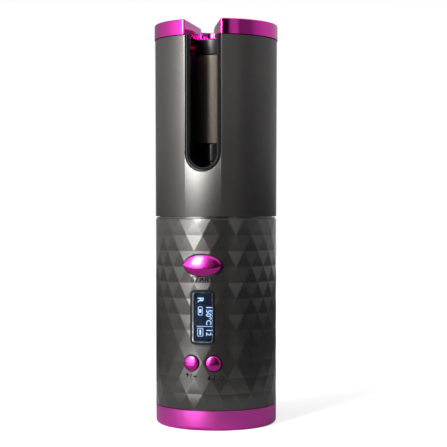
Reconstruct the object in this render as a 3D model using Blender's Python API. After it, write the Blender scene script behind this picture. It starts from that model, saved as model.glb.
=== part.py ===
"""Automatic hair curler, in metres: +Z up, front towards -Y, origin at the centre of the foot.

A faceted grip holds the keys, the display, the board and the cells. The slotted housing above
holds the fixed heated barrel and the winding rotor, which turns about that barrel.
"""

import math

import bmesh
import bpy
from mathutils import Matrix, Vector

# Shared clearances and how finely round shapes are divided
CLEARANCE = 0.0003
RUNNING_GAP = 0.0006
OVERRUN = 0.0020
MERGE_DISTANCE = 0.000001
RIM_SEGMENTS = 48
BARREL_SEGMENTS = 28
PIN_SEGMENTS = 12
ARC_STEPS = 3
SMOOTH_ANGLE = math.radians(35)

# Outer shell, from the foot to the cap
GRIP_RADIUS = 0.0300
BASE_INSET = 0.0001
UPPER_DRAFT = 0.0003
CAP_OVERHANG = 0.0003
BASE_HEIGHT = 0.0095
GRIP_MARGIN = 0.0002
FACET_ROWS = 12
FACETS_AROUND = 23
FACET_ROW_HEIGHT = 0.0076
GRIP_LIP = 0.0003
SEAM_WIDTH = 0.0010
SEAM_DEPTH = 0.0006
UPPER_HEIGHT = 0.0869
CAP_HEIGHT = 0.0073
GRIP_WALL = 0.0020
UPPER_WALL = 0.0016
UPPER_EDGE = 0.0003

GRIP_BOTTOM = BASE_HEIGHT + CLEARANCE
FACET_BOTTOM = GRIP_BOTTOM + GRIP_MARGIN
FACET_TOP = FACET_BOTTOM + FACET_ROWS * FACET_ROW_HEIGHT
GRIP_TOP = FACET_TOP + GRIP_LIP
UPPER_BOTTOM = GRIP_TOP + SEAM_WIDTH
UPPER_TOP = UPPER_BOTTOM + UPPER_HEIGHT
CAP_BOTTOM = UPPER_TOP + CLEARANCE
CAP_TOP = CAP_BOTTOM + CAP_HEIGHT
BASE_RADIUS = GRIP_RADIUS - BASE_INSET
UPPER_TOP_RADIUS = GRIP_RADIUS + UPPER_DRAFT
CAP_RADIUS = UPPER_TOP_RADIUS + CAP_OVERHANG
GRIP_INNER = GRIP_RADIUS - GRIP_WALL
UPPER_INNER = GRIP_RADIUS - UPPER_WALL

# Neck of the grip, which plugs into the upper housing and carries the bulkhead
NECK_OUTER = UPPER_INNER - CLEARANCE
NECK_WALL = 0.0017
NECK_HEIGHT = 0.0045
NECK_ROOT = 0.0049
NECK_INNER = NECK_OUTER - NECK_WALL
NECK_TOP = GRIP_TOP + NECK_HEIGHT

# Screws, and the bosses that take them
SCREW_SHANK = 0.0010
SCREW_HEAD = 0.0019
SCREW_HEAD_HEIGHT = 0.0010
SCREW_LENGTH = 0.0060
SCREW_RECESS = 0.0004
BOSS_RADIUS = 0.0026
BOSS_HEIGHT = 0.0080
BOSS_BITE = 0.0006
CHASSIS_SCREW_ANGLES = (math.radians(75), math.radians(195), math.radians(315))
CHASSIS_SCREW_CIRCLE = NECK_INNER - BOSS_RADIUS + BOSS_BITE
SCREW_HOLE = SCREW_SHANK + CLEARANCE

# Cap and its hair notch, whose outline is given as shares of the cap's radius
CAP_EDGE = 0.0008
CAP_SPIGOT_WALL = 0.0013
CAP_SPIGOT_DEPTH = 0.0030
CAP_LEDGE = 0.0006
NOTCH_FRONT_SHARE = -1.10
NOTCH_LEFT_SHARE = -0.292
NOTCH_BEND_SHARE = 0.18
NOTCH_RIGHT_SHARES = ((0.331, -1.10), (0.289, -0.958), (-0.013, -0.049), (-0.105, 0.29))
NOTCH_END_SHARES = (-0.243, 0.56)
NOTCH_END_RADIUS_SHARE = 0.147
CAP_DISC_BOTTOM = CAP_BOTTOM + CAP_LEDGE

# Hair slot and the liner of the hair chamber
SLOT_HALF_WIDTH = 0.00885
SLOT_DEPTH = 0.0655
LINER_WALL = 0.0015
LIP_WALL = 0.00185
LIP_RECESS = 0.0004
LINER_OUTER = UPPER_INNER - CLEARANCE
LINER_INNER = LINER_OUTER - LINER_WALL
LINER_TOP = CAP_DISC_BOTTOM - CLEARANCE
LIP_OUTER_HALF = SLOT_HALF_WIDTH - CLEARANCE
LIP_INNER_HALF = LIP_OUTER_HALF - LIP_WALL
SLOT_BOTTOM = UPPER_TOP - SLOT_DEPTH
SLOT_CENTRE = SLOT_BOTTOM + SLOT_HALF_WIDTH

# Bulkhead and gear train, whose module follows the width that the neck leaves
PLATE_THICKNESS = 0.0020
MODULES_IN_NECK = 33
ROTOR_TEETH = 30
IDLER_TEETH = 14
PINION_TEETH = 10
GEAR_WIDTH = 0.0040
TOOTH_TIP_SHARE = 0.85
TOOTH_ROOT_SHARE = 1.20
TOOTH_TIP_WIDTH_SHARE = 0.22
TOOTH_ROOT_WIDTH_SHARE = 0.68
MOTOR_ANGLE = 0.0
AXLE_RADIUS = 0.0015
AXLE_SHOULDER_WIDTH = 0.0009
AXLE_SHOULDER_HEIGHT = 0.0007
GEAR_RIM = 0.00174
GEAR_MODULE = NECK_INNER / MODULES_IN_NECK
ROTOR_GEAR_ROOT = (ROTOR_TEETH / 2 - TOOTH_ROOT_SHARE) * GEAR_MODULE
PLATE_BOTTOM = NECK_TOP + CLEARANCE
PLATE_TOP = PLATE_BOTTOM + PLATE_THICKNESS

# Post, bush and rotor, from the rotor's gear inwards
POST_WALL = 0.0015
POST_FLANGE_WIDTH = 0.0030
POST_FLANGE_HEIGHT = 0.0012
BUSH_WALL = 0.0015
BUSH_FLANGE_HEIGHT = 0.0008
HUB_WALL = 0.0019
ROTOR_THICKNESS = 0.0026
COVER_THICKNESS = 0.0016
COVER_SKIRT_WALL = 0.0012
FINGER_THICKNESS = 0.0030
FINGER_OFFSET_SHARE = 0.55
FINGER_HALF_ANGLE = math.radians(7)
FINGER_TOP_GAP = 0.0060
HUB_OUTER = ROTOR_GEAR_ROOT - GEAR_RIM - CLEARANCE
HUB_INNER = HUB_OUTER - HUB_WALL
BUSH_OUTER = HUB_INNER - CLEARANCE
BUSH_INNER = BUSH_OUTER - BUSH_WALL
POST_RADIUS = BUSH_INNER - CLEARANCE
POST_BORE = POST_RADIUS - POST_WALL
POST_BOTTOM = PLATE_TOP + CLEARANCE
BUSH_BOTTOM = POST_BOTTOM + POST_FLANGE_HEIGHT + CLEARANCE
BUSH_FLANGE_TOP = BUSH_BOTTOM + BUSH_FLANGE_HEIGHT
GEAR_BOTTOM = BUSH_FLANGE_TOP + CLEARANCE
GEAR_TOP = GEAR_BOTTOM + GEAR_WIDTH
COVER_UNDERSIDE = GEAR_TOP + RUNNING_GAP
COVER_TOP = COVER_UNDERSIDE + COVER_THICKNESS
LINER_BOTTOM = COVER_TOP + CLEARANCE
ROTOR_BOTTOM = COVER_TOP + RUNNING_GAP
ROTOR_TOP = ROTOR_BOTTOM + ROTOR_THICKNESS
ROTOR_RADIUS = LINER_INNER - RUNNING_GAP

# Heated barrel
BARREL_RADIUS = 0.0105
BARREL_WALL = 0.0012
COLLAR_HEIGHT = 0.0168
BARREL_SPIGOT = 0.0030
END_CAP_HEIGHT = 0.0078
END_CAP_GAP = 0.0005
END_CAP_EDGE = 0.0010
HEATER_SLOT_LENGTH = 0.0140
HEATER_SLOT_WIDTH = 0.0026
THERMISTOR_RADIUS = 0.0009
THERMISTOR_LENGTH = 0.0050
COLLAR_BOTTOM = ROTOR_TOP + RUNNING_GAP
COLLAR_TOP = COLLAR_BOTTOM + COLLAR_HEIGHT
BARREL_INNER = BARREL_RADIUS - BARREL_WALL
BARREL_PLUG = BARREL_INNER - CLEARANCE
BARREL_BOTTOM = COLLAR_TOP + CLEARANCE
END_CAP_TOP = CAP_DISC_BOTTOM - END_CAP_GAP
END_CAP_BOTTOM = END_CAP_TOP - END_CAP_HEIGHT
BARREL_TOP = END_CAP_BOTTOM - CLEARANCE
POST_TOP = COLLAR_TOP + BARREL_SPIGOT
HEATER_BOTTOM = POST_TOP + CLEARANCE
HEATER_TOP = END_CAP_BOTTOM - BARREL_SPIGOT - CLEARANCE
THERMISTOR_OFFSET = (HEATER_SLOT_WIDTH / 2 + BARREL_PLUG) / 2

# Gear motor
MOTOR_WIDTH = 0.0120
MOTOR_DEPTH = 0.0100
GEARBOX_LENGTH = 0.0090
MOTOR_CAN_LENGTH = 0.0146
MOTOR_CAN_INSET = 0.0003
SHAFT_SOCKET_DEPTH = 0.0030
MOTOR_TOP = PLATE_BOTTOM - CLEARANCE
GEARBOX_BOTTOM = MOTOR_TOP - GEARBOX_LENGTH
MOTOR_BOTTOM = GEARBOX_BOTTOM - MOTOR_CAN_LENGTH

# Home sensor
SENSOR_LENGTH = 0.0040
SENSOR_WIDTH = 0.0030
SENSOR_HEIGHT = 0.0032
SENSOR_GAP = 0.0010

# Heights of the keys and the display, each above the last
KEY_RISE = 0.0226
KEY_TO_DISPLAY = 0.0220
DISPLAY_TO_START = 0.0249
KEY_MIDDLE = GRIP_BOTTOM + KEY_RISE
DISPLAY_MIDDLE = KEY_MIDDLE + KEY_TO_DISPLAY
START_MIDDLE = DISPLAY_MIDDLE + DISPLAY_TO_START

# Display
DISPLAY_WIDTH = 0.0115
DISPLAY_HEIGHT = 0.0257
DISPLAY_CORNER = 0.0022
BEZEL_WALL = 0.0010
BEZEL_DEPTH = 0.0036
BEZEL_RECESS = 0.0001
WINDOW_RECESS = 0.0004
WINDOW_THICKNESS = 0.0010
LCD_THICKNESS = 0.0016
BEZEL_BACK = GRIP_RADIUS - BEZEL_DEPTH
WINDOW_WIDTH = DISPLAY_WIDTH - 2 * (BEZEL_WALL + CLEARANCE)
WINDOW_HEIGHT = DISPLAY_HEIGHT - 2 * (BEZEL_WALL + CLEARANCE)
WINDOW_CORNER = DISPLAY_CORNER - BEZEL_WALL - CLEARANCE
WINDOW_OUTER = GRIP_RADIUS - WINDOW_RECESS
WINDOW_INNER = WINDOW_OUTER - WINDOW_THICKNESS

# Main board, as wide as the grip leaves it, and its switches
BOARD_SETBACK = 0.0077
BOARD_BELOW_KEYS = 0.0084
BOARD_ABOVE_START = 0.0097
BOARD_THICKNESS = 0.0012
SWITCH_WIDTH = 0.0045
SWITCH_BODY = 0.0014
SWITCH_PLUNGER = 0.0004
SWITCH_PLUNGER_INSET = 0.0012
BUZZER_RADIUS = 0.0045
BUZZER_HEIGHT = 0.0035
BUZZER_SHARES = (0.27, 0.62)
BOARD_FRONT = GRIP_INNER - BOARD_SETBACK
BOARD_WIDTH = 2 * (math.sqrt(GRIP_INNER**2 - BOARD_FRONT**2) - CLEARANCE)
BOARD_BACK = BOARD_FRONT - BOARD_THICKNESS
BOARD_BOTTOM = KEY_MIDDLE - BOARD_BELOW_KEYS
BOARD_TOP = START_MIDDLE + BOARD_ABOVE_START
SWITCH_BACK = BOARD_FRONT + CLEARANCE
SWITCH_FRONT = SWITCH_BACK + SWITCH_BODY + SWITCH_PLUNGER

# Start key
START_HOLE_HALF_WIDTH = 0.00965
START_HOLE_HALF_HEIGHT = 0.0055
START_GAP = 0.0004
START_PROUD = 0.0024
START_EDGE_PROUD = 0.0007
START_RIDGE_SHARE = -0.28
START_FLANGE = 0.0005
START_FLANGE_THICKNESS = 0.0010
START_STEM_RADIUS = 0.0018
START_TRAVEL = 0.0010
ELLIPSE_STEPS = 28
CROWN_STEPS = 4
START_HALF_WIDTH = START_HOLE_HALF_WIDTH - START_GAP
START_HALF_HEIGHT = START_HOLE_HALF_HEIGHT - START_GAP
START_FLANGE_HALF_WIDTH = START_HOLE_HALF_WIDTH + START_FLANGE
START_FLANGE_HALF_HEIGHT = START_HOLE_HALF_HEIGHT + START_FLANGE
START_FLANGE_FRONT = math.sqrt(GRIP_INNER**2 - START_FLANGE_HALF_WIDTH**2) - CLEARANCE
START_FLANGE_BACK = START_FLANGE_FRONT - START_FLANGE_THICKNESS
START_STEM_END = SWITCH_FRONT + START_TRAVEL + CLEARANCE

# Round keys
KEY_ANGLE = math.radians(10.37)
KEY_HOLE_RADIUS = 0.0041
KEY_EDGE_PROUD = 0.0004
KEY_PROUD = 0.0013
KEY_FLANGE = 0.0004
KEY_FLANGE_THICKNESS = 0.0010
KEY_STEM_RADIUS = 0.0013
KEY_TRAVEL = 0.0008
KEY_RADIUS = KEY_HOLE_RADIUS - CLEARANCE
KEY_FLANGE_RADIUS = KEY_HOLE_RADIUS + KEY_FLANGE
KEY_FLANGE_FRONT = math.sqrt(GRIP_INNER**2 - KEY_FLANGE_RADIUS**2) - CLEARANCE
KEY_FLANGE_BACK = KEY_FLANGE_FRONT - KEY_FLANGE_THICKNESS
KEY_STEM_REACH = SWITCH_FRONT + CLEARANCE + KEY_STEM_RADIUS * math.sin(KEY_ANGLE)
KEY_STEM_END = KEY_STEM_REACH / math.cos(KEY_ANGLE) + KEY_TRAVEL

# Foot
BASE_CORNER = 0.0020
BASE_LEDGE_WIDTH = 0.0046
BASE_FLANGE_THICKNESS = 0.0020
BASE_FLANGE_WIDTH = 0.0073
BASE_SPIGOT_WALL = 0.0015
BASE_SPIGOT_HEIGHT = 0.0035
BASE_PLATE_THICKNESS = 0.0024
BASE_BOSS_HEIGHT = 0.0045
BASE_SCREW_INSET = 0.0040
BASE_SCREW_ANGLES = (math.radians(-8), math.radians(172))
BASE_SPIGOT_OUTER = GRIP_INNER - CLEARANCE
BASE_SPIGOT_INNER = BASE_SPIGOT_OUTER - BASE_SPIGOT_WALL
BASE_SPIGOT_TOP = BASE_HEIGHT + BASE_SPIGOT_HEIGHT
BASE_OPENING = BASE_RADIUS - BASE_LEDGE_WIDTH
BASE_PLATE_RADIUS = BASE_OPENING - CLEARANCE
BASE_FLANGE_BOTTOM = BASE_PLATE_THICKNESS + CLEARANCE
BASE_FLANGE_TOP = BASE_FLANGE_BOTTOM + BASE_FLANGE_THICKNESS
BASE_FLANGE_INNER = BASE_OPENING - BASE_FLANGE_WIDTH
BASE_SCREW_CIRCLE = BASE_OPENING - BASE_SCREW_INSET

# Charging socket and its board
SOCKET_WIDTH = 0.0090
SOCKET_DEPTH = 0.0032
SOCKET_HEIGHT = 0.0065
SOCKET_MOUTH_WALL = 0.0004
SOCKET_MOUTH_DEPTH = 0.0050
SOCKET_RECESS = 0.0006
SOCKET_SETBACK_SHARE = 0.40
CHARGE_BOARD_WIDTH = 0.0240
CHARGE_BOARD_DEPTH = 0.0120
CHARGE_BOARD_THICKNESS = 0.0010
CHARGE_POST_RADIUS = 0.0015
CHARGE_POST_INSET = 0.0025
SOCKET_TOP = SOCKET_RECESS + SOCKET_HEIGHT
CHARGE_BOARD_BOTTOM = SOCKET_TOP + CLEARANCE
CHARGE_BOARD_TOP = CHARGE_BOARD_BOTTOM + CHARGE_BOARD_THICKNESS
SOCKET_Y = SOCKET_SETBACK_SHARE * BASE_PLATE_RADIUS

# Cells and their frame
CELL_RADIUS = 0.0092
CELL_LENGTH = 0.0650
CELL_MARGIN = 0.0030
CELL_CROWN = 0.0008
CELL_CROWN_RADIUS = 0.0030
FRAME_THICKNESS = 0.0012
FRAME_FRONT_MARGIN = 0.0040
LINK_THICKNESS = 0.0003
LINK_WIDTH = 0.0060
CELL_X = CELL_RADIUS + CLEARANCE
CELL_Y = math.sqrt((GRIP_INNER - CELL_RADIUS - CELL_MARGIN) ** 2 - CELL_X**2)
FRAME_BOTTOM = BASE_SPIGOT_TOP + CLEARANCE
CELL_BOTTOM = FRAME_BOTTOM + FRAME_THICKNESS + CLEARANCE
CELL_TOP = CELL_BOTTOM + CELL_LENGTH
LINK_BOTTOM = CELL_TOP + CLEARANCE
FRAME_TOP_PLATE = LINK_BOTTOM + LINK_THICKNESS + CLEARANCE
FRAME_TOP = FRAME_TOP_PLATE + FRAME_THICKNESS
FRAME_WEB = CELL_Y + CELL_RADIUS + CLEARANCE
FRAME_FRONT = CELL_Y - CELL_RADIUS - FRAME_FRONT_MARGIN
FRAME_HALF_WIDTH = CELL_X + CELL_RADIUS

# Internal leads. Each row of a route's shares says how far the point lies along the route's
# own reach in X, Y and Z.
POWER_LEAD_RADIUS = 0.0010
SIGNAL_LEAD_RADIUS = 0.0006
LEAD_POINTS = 12
LEAD_STRAIGHT = 0.0024
CHARGE_LEAD_INSET = 0.0020
CHARGE_LEAD_RISE = 0.0047
LEAD_COLUMN_SHARE = -0.125
HEATER_LEAD_SHARES = ((1, 1, 0), (1, 0.86, 0), (1, 0.60, 0.33), (0.5, 0.22, 0.77))
MOTOR_LEAD_SHARES = ((1, 0, 0), (0.85, 0.05, 0), (0.68, 0.45, 0.5), (0.68, 0.85, 1), (0.68, 1, 1))
BATTERY_LEAD_SHARES = ((1.1, 0.32, 0.25), (1.2, 0.72, 1), (1.2, 0.93, 1), (1.2, 1, 1))

# Finishes as base colour, metallic and roughness
MAGENTA_CHROME = ((0.72, 0.03, 0.42), 1.0, 0.12)
MAGENTA_SATIN = ((0.62, 0.06, 0.42), 0.9, 0.30)
GUNMETAL = ((0.115, 0.110, 0.105), 0.85, 0.38)
GUNMETAL_FACETS = ((0.115, 0.110, 0.105), 0.85, 0.34)
BLACK_PLASTIC = ((0.010, 0.010, 0.011), 0.0, 0.35)
BLACK_GLOSS = ((0.008, 0.008, 0.009), 0.0, 0.12)
TAN_CERAMIC = ((0.36, 0.24, 0.15), 0.2, 0.42)
CLEAR_LENS = ((0.020, 0.030, 0.045), 0.0, 0.06)
DISPLAY_BLUE = ((0.020, 0.045, 0.085), 0.0, 0.25)
WHITE_PLASTIC = ((0.78, 0.78, 0.75), 0.0, 0.45)
GREY_PLASTIC = ((0.20, 0.20, 0.21), 0.0, 0.50)
STEEL = ((0.55, 0.55, 0.56), 1.0, 0.25)
BRASS = ((0.72, 0.52, 0.24), 1.0, 0.30)
ALUMINIUM = ((0.72, 0.72, 0.73), 1.0, 0.35)
NYLON = ((0.86, 0.84, 0.78), 0.0, 0.40)
BOARD_GREEN = ((0.020, 0.130, 0.060), 0.0, 0.45)
CELL_WRAP = ((0.030, 0.180, 0.420), 0.0, 0.30)
NICKEL = ((0.62, 0.60, 0.55), 1.0, 0.28)
RED_LEAD = ((0.48, 0.02, 0.02), 0.0, 0.50)
BLUE_LEAD = ((0.02, 0.06, 0.40), 0.0, 0.50)


def clear_scene():
    for obj in list(bpy.data.objects):
        bpy.data.objects.remove(obj, do_unlink=True)


def material(name, finish):
    colour, metallic, roughness = finish
    made = bpy.data.materials.new(name)
    made.use_nodes = True
    shader = made.node_tree.nodes["Principled BSDF"]
    shader.inputs["Base Color"].default_value = (*colour, 1.0)
    shader.inputs["Metallic"].default_value = metallic
    shader.inputs["Roughness"].default_value = roughness
    made.diffuse_color = (*colour, 1.0)
    return made


def finished(name, shape, finish=None):
    """Turns a bmesh into a named object. A shape with no finish is a cutter or a helper."""
    mesh = bpy.data.meshes.new(name)
    shape.to_mesh(mesh)
    shape.free()
    mesh.shade_smooth()
    mesh.set_sharp_from_angle(angle=SMOOTH_ANGLE)
    obj = bpy.data.objects.new(name, mesh)
    bpy.context.scene.collection.objects.link(obj)
    if finish is None:
        obj.hide_render = True
        obj.display_type = "WIRE"
    else:
        mesh.materials.append(material(name, finish))
    return obj


def boolean(obj, operation, *helpers):
    for helper in helpers:
        modifier = obj.modifiers.new(f"{operation.lower()} {helper.name}", "BOOLEAN")
        modifier.operation = operation
        modifier.solver = "EXACT"
        modifier.object = helper
    return obj


def merged(*shapes):
    """Several shapes that don't touch, as one."""
    whole = bmesh.new()
    for shape in shapes:
        mesh = bpy.data.meshes.new("shape")
        shape.to_mesh(mesh)
        shape.free()
        whole.from_mesh(mesh)
        bpy.data.meshes.remove(mesh)
    return whole


def turned(profile, segments, centre=(0, 0)):
    """A closed body turned about Z from (radius, height) points. A profile that starts and
    ends on the axis stays open there, and any other is closed on itself."""
    shape = bmesh.new()
    points = [shape.verts.new((radius, 0, height)) for radius, height in profile]
    edges = [shape.edges.new(pair) for pair in zip(points, points[1:])]
    if profile[0][0] or profile[-1][0]:
        edges.append(shape.edges.new((points[-1], points[0])))
    bmesh.ops.spin(
        shape,
        geom=points + edges,
        axis=(0, 0, 1),
        cent=(0, 0, 0),
        steps=segments,
        angle=math.tau,
        use_merge=True,
    )
    bmesh.ops.remove_doubles(shape, verts=shape.verts, dist=MERGE_DISTANCE)
    bmesh.ops.recalc_face_normals(shape, faces=shape.faces)
    bmesh.ops.translate(shape, verts=shape.verts, vec=(*centre, 0))
    return shape


def rod(radius, bottom, top, segments=PIN_SEGMENTS, centre=(0, 0)):
    profile = [(0, bottom), (radius, bottom), (radius, top), (0, top)]
    return turned(profile, segments, centre)


def ring(inner, outer, bottom, top, segments=RIM_SEGMENTS, centre=(0, 0)):
    profile = [(inner, bottom), (outer, bottom), (outer, top), (inner, top)]
    return turned(profile, segments, centre)


def upright(outline, bottom, top):
    """A prism over an outline of (x, y) points."""
    return prism([Vector((x, y, bottom)) for x, y in outline], Vector((0, 0, top - bottom)))


def facing(outline, front, back):
    """A prism over an outline of (x, z) points, between two distances in front of the axis."""
    return prism([Vector((x, -front, z)) for x, z in outline], Vector((0, front - back, 0)))


def sideways(outline, half_width):
    """A prism over an outline of (y, z) points, as wide to the left as to the right."""
    points = [Vector((-half_width, y, z)) for y, z in outline]
    return prism(points, Vector((2 * half_width, 0, 0)))


def prism(points, reach):
    shape = bmesh.new()
    face = shape.faces.new([shape.verts.new(point) for point in points])
    grown = bmesh.ops.extrude_face_region(shape, geom=[face])
    moved = [item for item in grown["geom"] if isinstance(item, bmesh.types.BMVert)]
    bmesh.ops.translate(shape, verts=moved, vec=reach)
    bmesh.ops.recalc_face_normals(shape, faces=shape.faces)
    return shape


def rectangle(left, right, low, high):
    return [(left, low), (right, low), (right, high), (left, high)]


def arc(centre, radius, start, end, steps):
    """Points on an arc, both ends included."""
    angles = [start + (end - start) * step / steps for step in range(steps + 1)]
    return [
        (centre[0] + radius * math.cos(angle), centre[1] + radius * math.sin(angle))
        for angle in angles
    ]


def rounded_rectangle(width, height, corner, middle=0.0):
    right = width / 2 - corner
    high = height / 2 - corner
    corners = (((right, high), 0), ((-right, high), 1), ((-right, -high), 2), ((right, -high), 3))
    outline = []
    for (x, z), quarter in corners:
        start = quarter * math.pi / 2
        outline += arc((x, middle + z), corner, start, start + math.pi / 2, ARC_STEPS)
    return outline


def ellipse(half_width, half_height, middle):
    angles = [math.tau * step / ELLIPSE_STEPS for step in range(ELLIPSE_STEPS)]
    return [
        (half_width * math.cos(angle), middle + half_height * math.sin(angle)) for angle in angles
    ]


def slot_outline(half_width, top):
    """A U that opens upwards, round at its foot."""
    steps = 2 * ARC_STEPS
    foot = arc((0, SLOT_CENTRE), half_width, math.pi, math.tau, steps)
    return [(-half_width, top), *foot, (half_width, top)]


def notch_outline():
    """The cap's notch: parallel to the slot on the left, slanting in on the right."""
    end_x = NOTCH_END_SHARES[0] * CAP_RADIUS
    end_y = NOTCH_END_SHARES[1] * CAP_RADIUS
    end = arc((end_x, end_y), NOTCH_END_RADIUS_SHARE * CAP_RADIUS, 0, math.pi, 2 * ARC_STEPS)
    left = NOTCH_LEFT_SHARE * CAP_RADIUS
    right = [(x * CAP_RADIUS, y * CAP_RADIUS) for x, y in NOTCH_RIGHT_SHARES]
    bend = (left, NOTCH_BEND_SHARE * CAP_RADIUS)
    return [*right, *end, bend, (left, NOTCH_FRONT_SHARE * CAP_RADIUS)]


def around(radius, angle):
    return radius * math.cos(angle), radius * math.sin(angle)


def pitch_radius(teeth):
    return teeth * GEAR_MODULE / 2


def tip_radius(teeth):
    return pitch_radius(teeth) + TOOTH_TIP_SHARE * GEAR_MODULE


def gear(teeth, bore, phase, bottom, top):
    """A spur gear about Z, with a tooth centred on the phase angle."""
    root = pitch_radius(teeth) - TOOTH_ROOT_SHARE * GEAR_MODULE
    tip = tip_radius(teeth)
    pitch = math.tau / teeth
    outline = []
    for tooth in range(teeth):
        middle = phase + tooth * pitch
        outline.append(around(root, middle - TOOTH_ROOT_WIDTH_SHARE * pitch / 2))
        outline.append(around(tip, middle - TOOTH_TIP_WIDTH_SHARE * pitch / 2))
        outline.append(around(tip, middle + TOOTH_TIP_WIDTH_SHARE * pitch / 2))
        outline.append(around(root, middle + TOOTH_ROOT_WIDTH_SHARE * pitch / 2))
    shape = upright(outline, bottom, top)
    return shape, rod(bore, bottom - OVERRUN, top + OVERRUN, BARREL_SEGMENTS)


def meshed_phase(line, phase, teeth, other_teeth):
    """The phase of a gear in mesh with another, whose centre lies along the line's angle."""
    turned_share = (line - phase) / (math.tau / teeth)
    return line + math.pi - (math.tau / other_teeth) * (0.5 - turned_share)


def gear_places():
    """Centres and phases of the idler and the pinion. The pinion clears the rotor's gear."""
    idler_reach = pitch_radius(ROTOR_TEETH) + pitch_radius(IDLER_TEETH)
    pinion_reach = tip_radius(ROTOR_TEETH) + tip_radius(PINION_TEETH) + RUNNING_GAP
    between = pitch_radius(IDLER_TEETH) + pitch_radius(PINION_TEETH)
    squares = idler_reach**2 + pinion_reach**2 - between**2
    idler_angle = MOTOR_ANGLE + math.acos(squares / (2 * idler_reach * pinion_reach))
    idler = Vector(around(idler_reach, idler_angle))
    pinion = Vector(around(pinion_reach, MOTOR_ANGLE))
    line = math.atan2(pinion.y - idler.y, pinion.x - idler.x)
    idler_phase = meshed_phase(idler_angle, idler_angle, ROTOR_TEETH, IDLER_TEETH)
    pinion_phase = meshed_phase(line, idler_phase, IDLER_TEETH, PINION_TEETH)
    return idler, pinion, idler_angle, idler_phase, pinion_phase


def faceted_grip():
    """The grip's outside: rows of points, each row turned half a facet from the next one."""
    shape = bmesh.new()
    step = math.tau / FACETS_AROUND
    rows = []
    for row in range(FACET_ROWS + 1):
        height = FACET_BOTTOM + row * FACET_ROW_HEIGHT
        turn = (0.5 if (FACET_ROWS - row) % 2 == 0 else 0) * step - math.pi / 2
        rows.append((GRIP_RADIUS, height, turn))
    rows.insert(0, (GRIP_RADIUS - GRIP_MARGIN, GRIP_BOTTOM, rows[0][2]))
    rows.append((GRIP_RADIUS - GRIP_LIP, GRIP_TOP, rows[-1][2]))
    rings = []
    for radius, height, turn in rows:
        places = [around(radius, turn + place * step) for place in range(FACETS_AROUND)]
        rings.append([shape.verts.new((x, y, height)) for x, y in places])
    for (low, high), (low_row, high_row) in zip(zip(rings, rings[1:]), zip(rows, rows[1:])):
        shift = round(2 * (high_row[2] - low_row[2]) / step)
        for place in range(FACETS_AROUND):
            following = (place + 1) % FACETS_AROUND
            if shift == 0:
                shape.faces.new((low[place], low[following], high[following], high[place]))
            elif shift > 0:
                shape.faces.new((low[place], low[following], high[place]))
                shape.faces.new((low[following], high[following], high[place]))
            else:
                shape.faces.new((low[place], low[following], high[following]))
                shape.faces.new((low[place], high[following], high[place]))
    shape.faces.new(list(reversed(rings[0])))
    shape.faces.new(rings[-1])
    bmesh.ops.recalc_face_normals(shape, faces=shape.faces)
    return shape


def chassis_screw_places():
    return [around(CHASSIS_SCREW_CIRCLE, angle) for angle in CHASSIS_SCREW_ANGLES]


def base_screw_places():
    return [around(BASE_SCREW_CIRCLE, angle) for angle in BASE_SCREW_ANGLES]


def make_lower_housing():
    housing = finished("lower_housing", faceted_grip(), GUNMETAL_FACETS)
    shoulder = GRIP_RADIUS - SEAM_DEPTH
    neck_profile = [
        (0, FACET_TOP - GRIP_WALL),
        (shoulder, FACET_TOP - GRIP_WALL),
        (shoulder, UPPER_BOTTOM - CLEARANCE),
        (NECK_OUTER, UPPER_BOTTOM - CLEARANCE),
        (NECK_OUTER, NECK_TOP),
        (0, NECK_TOP),
    ]
    neck = finished("neck helper", turned(neck_profile, RIM_SEGMENTS))
    root = GRIP_TOP - NECK_ROOT
    slope = GRIP_INNER - NECK_INNER
    cavity_profile = [
        (0, GRIP_BOTTOM - OVERRUN),
        (GRIP_INNER, GRIP_BOTTOM - OVERRUN),
        (GRIP_INNER, root - slope),
        (NECK_INNER, root),
        (NECK_INNER, NECK_TOP + OVERRUN),
        (0, NECK_TOP + OVERRUN),
    ]
    cavity = finished("grip cavity cutter", turned(cavity_profile, RIM_SEGMENTS))
    boolean(housing, "UNION", neck)
    boolean(housing, "DIFFERENCE", cavity)
    hole_bottom = PLATE_TOP - SCREW_LENGTH - CLEARANCE
    boss_profile = [
        (0, NECK_TOP - BOSS_HEIGHT),
        (BOSS_RADIUS, NECK_TOP - BOSS_HEIGHT),
        (BOSS_RADIUS, NECK_TOP),
        (SCREW_HOLE, NECK_TOP),
        (SCREW_HOLE, hole_bottom),
        (0, hole_bottom),
    ]
    bosses = [turned(boss_profile, PIN_SEGMENTS, place) for place in chassis_screw_places()]
    boolean(housing, "UNION", finished("chassis bosses", merged(*bosses)))
    front = GRIP_RADIUS + OVERRUN
    back = START_FLANGE_BACK
    window = rounded_rectangle(
        DISPLAY_WIDTH + 2 * CLEARANCE,
        DISPLAY_HEIGHT + 2 * CLEARANCE,
        DISPLAY_CORNER + CLEARANCE,
        DISPLAY_MIDDLE,
    )
    oval = ellipse(START_HOLE_HALF_WIDTH, START_HOLE_HALF_HEIGHT, START_MIDDLE)
    openings = [facing(window, front, back), facing(oval, front, back)]
    for side in (-1, 1):
        hole = rod(KEY_HOLE_RADIUS, KEY_FLANGE_BACK, front, BARREL_SEGMENTS)
        bmesh.ops.transform(hole, matrix=key_pose(side), verts=hole.verts)
        openings.append(hole)
    boolean(housing, "DIFFERENCE", finished("grip openings cutter", merged(*openings)))


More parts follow.
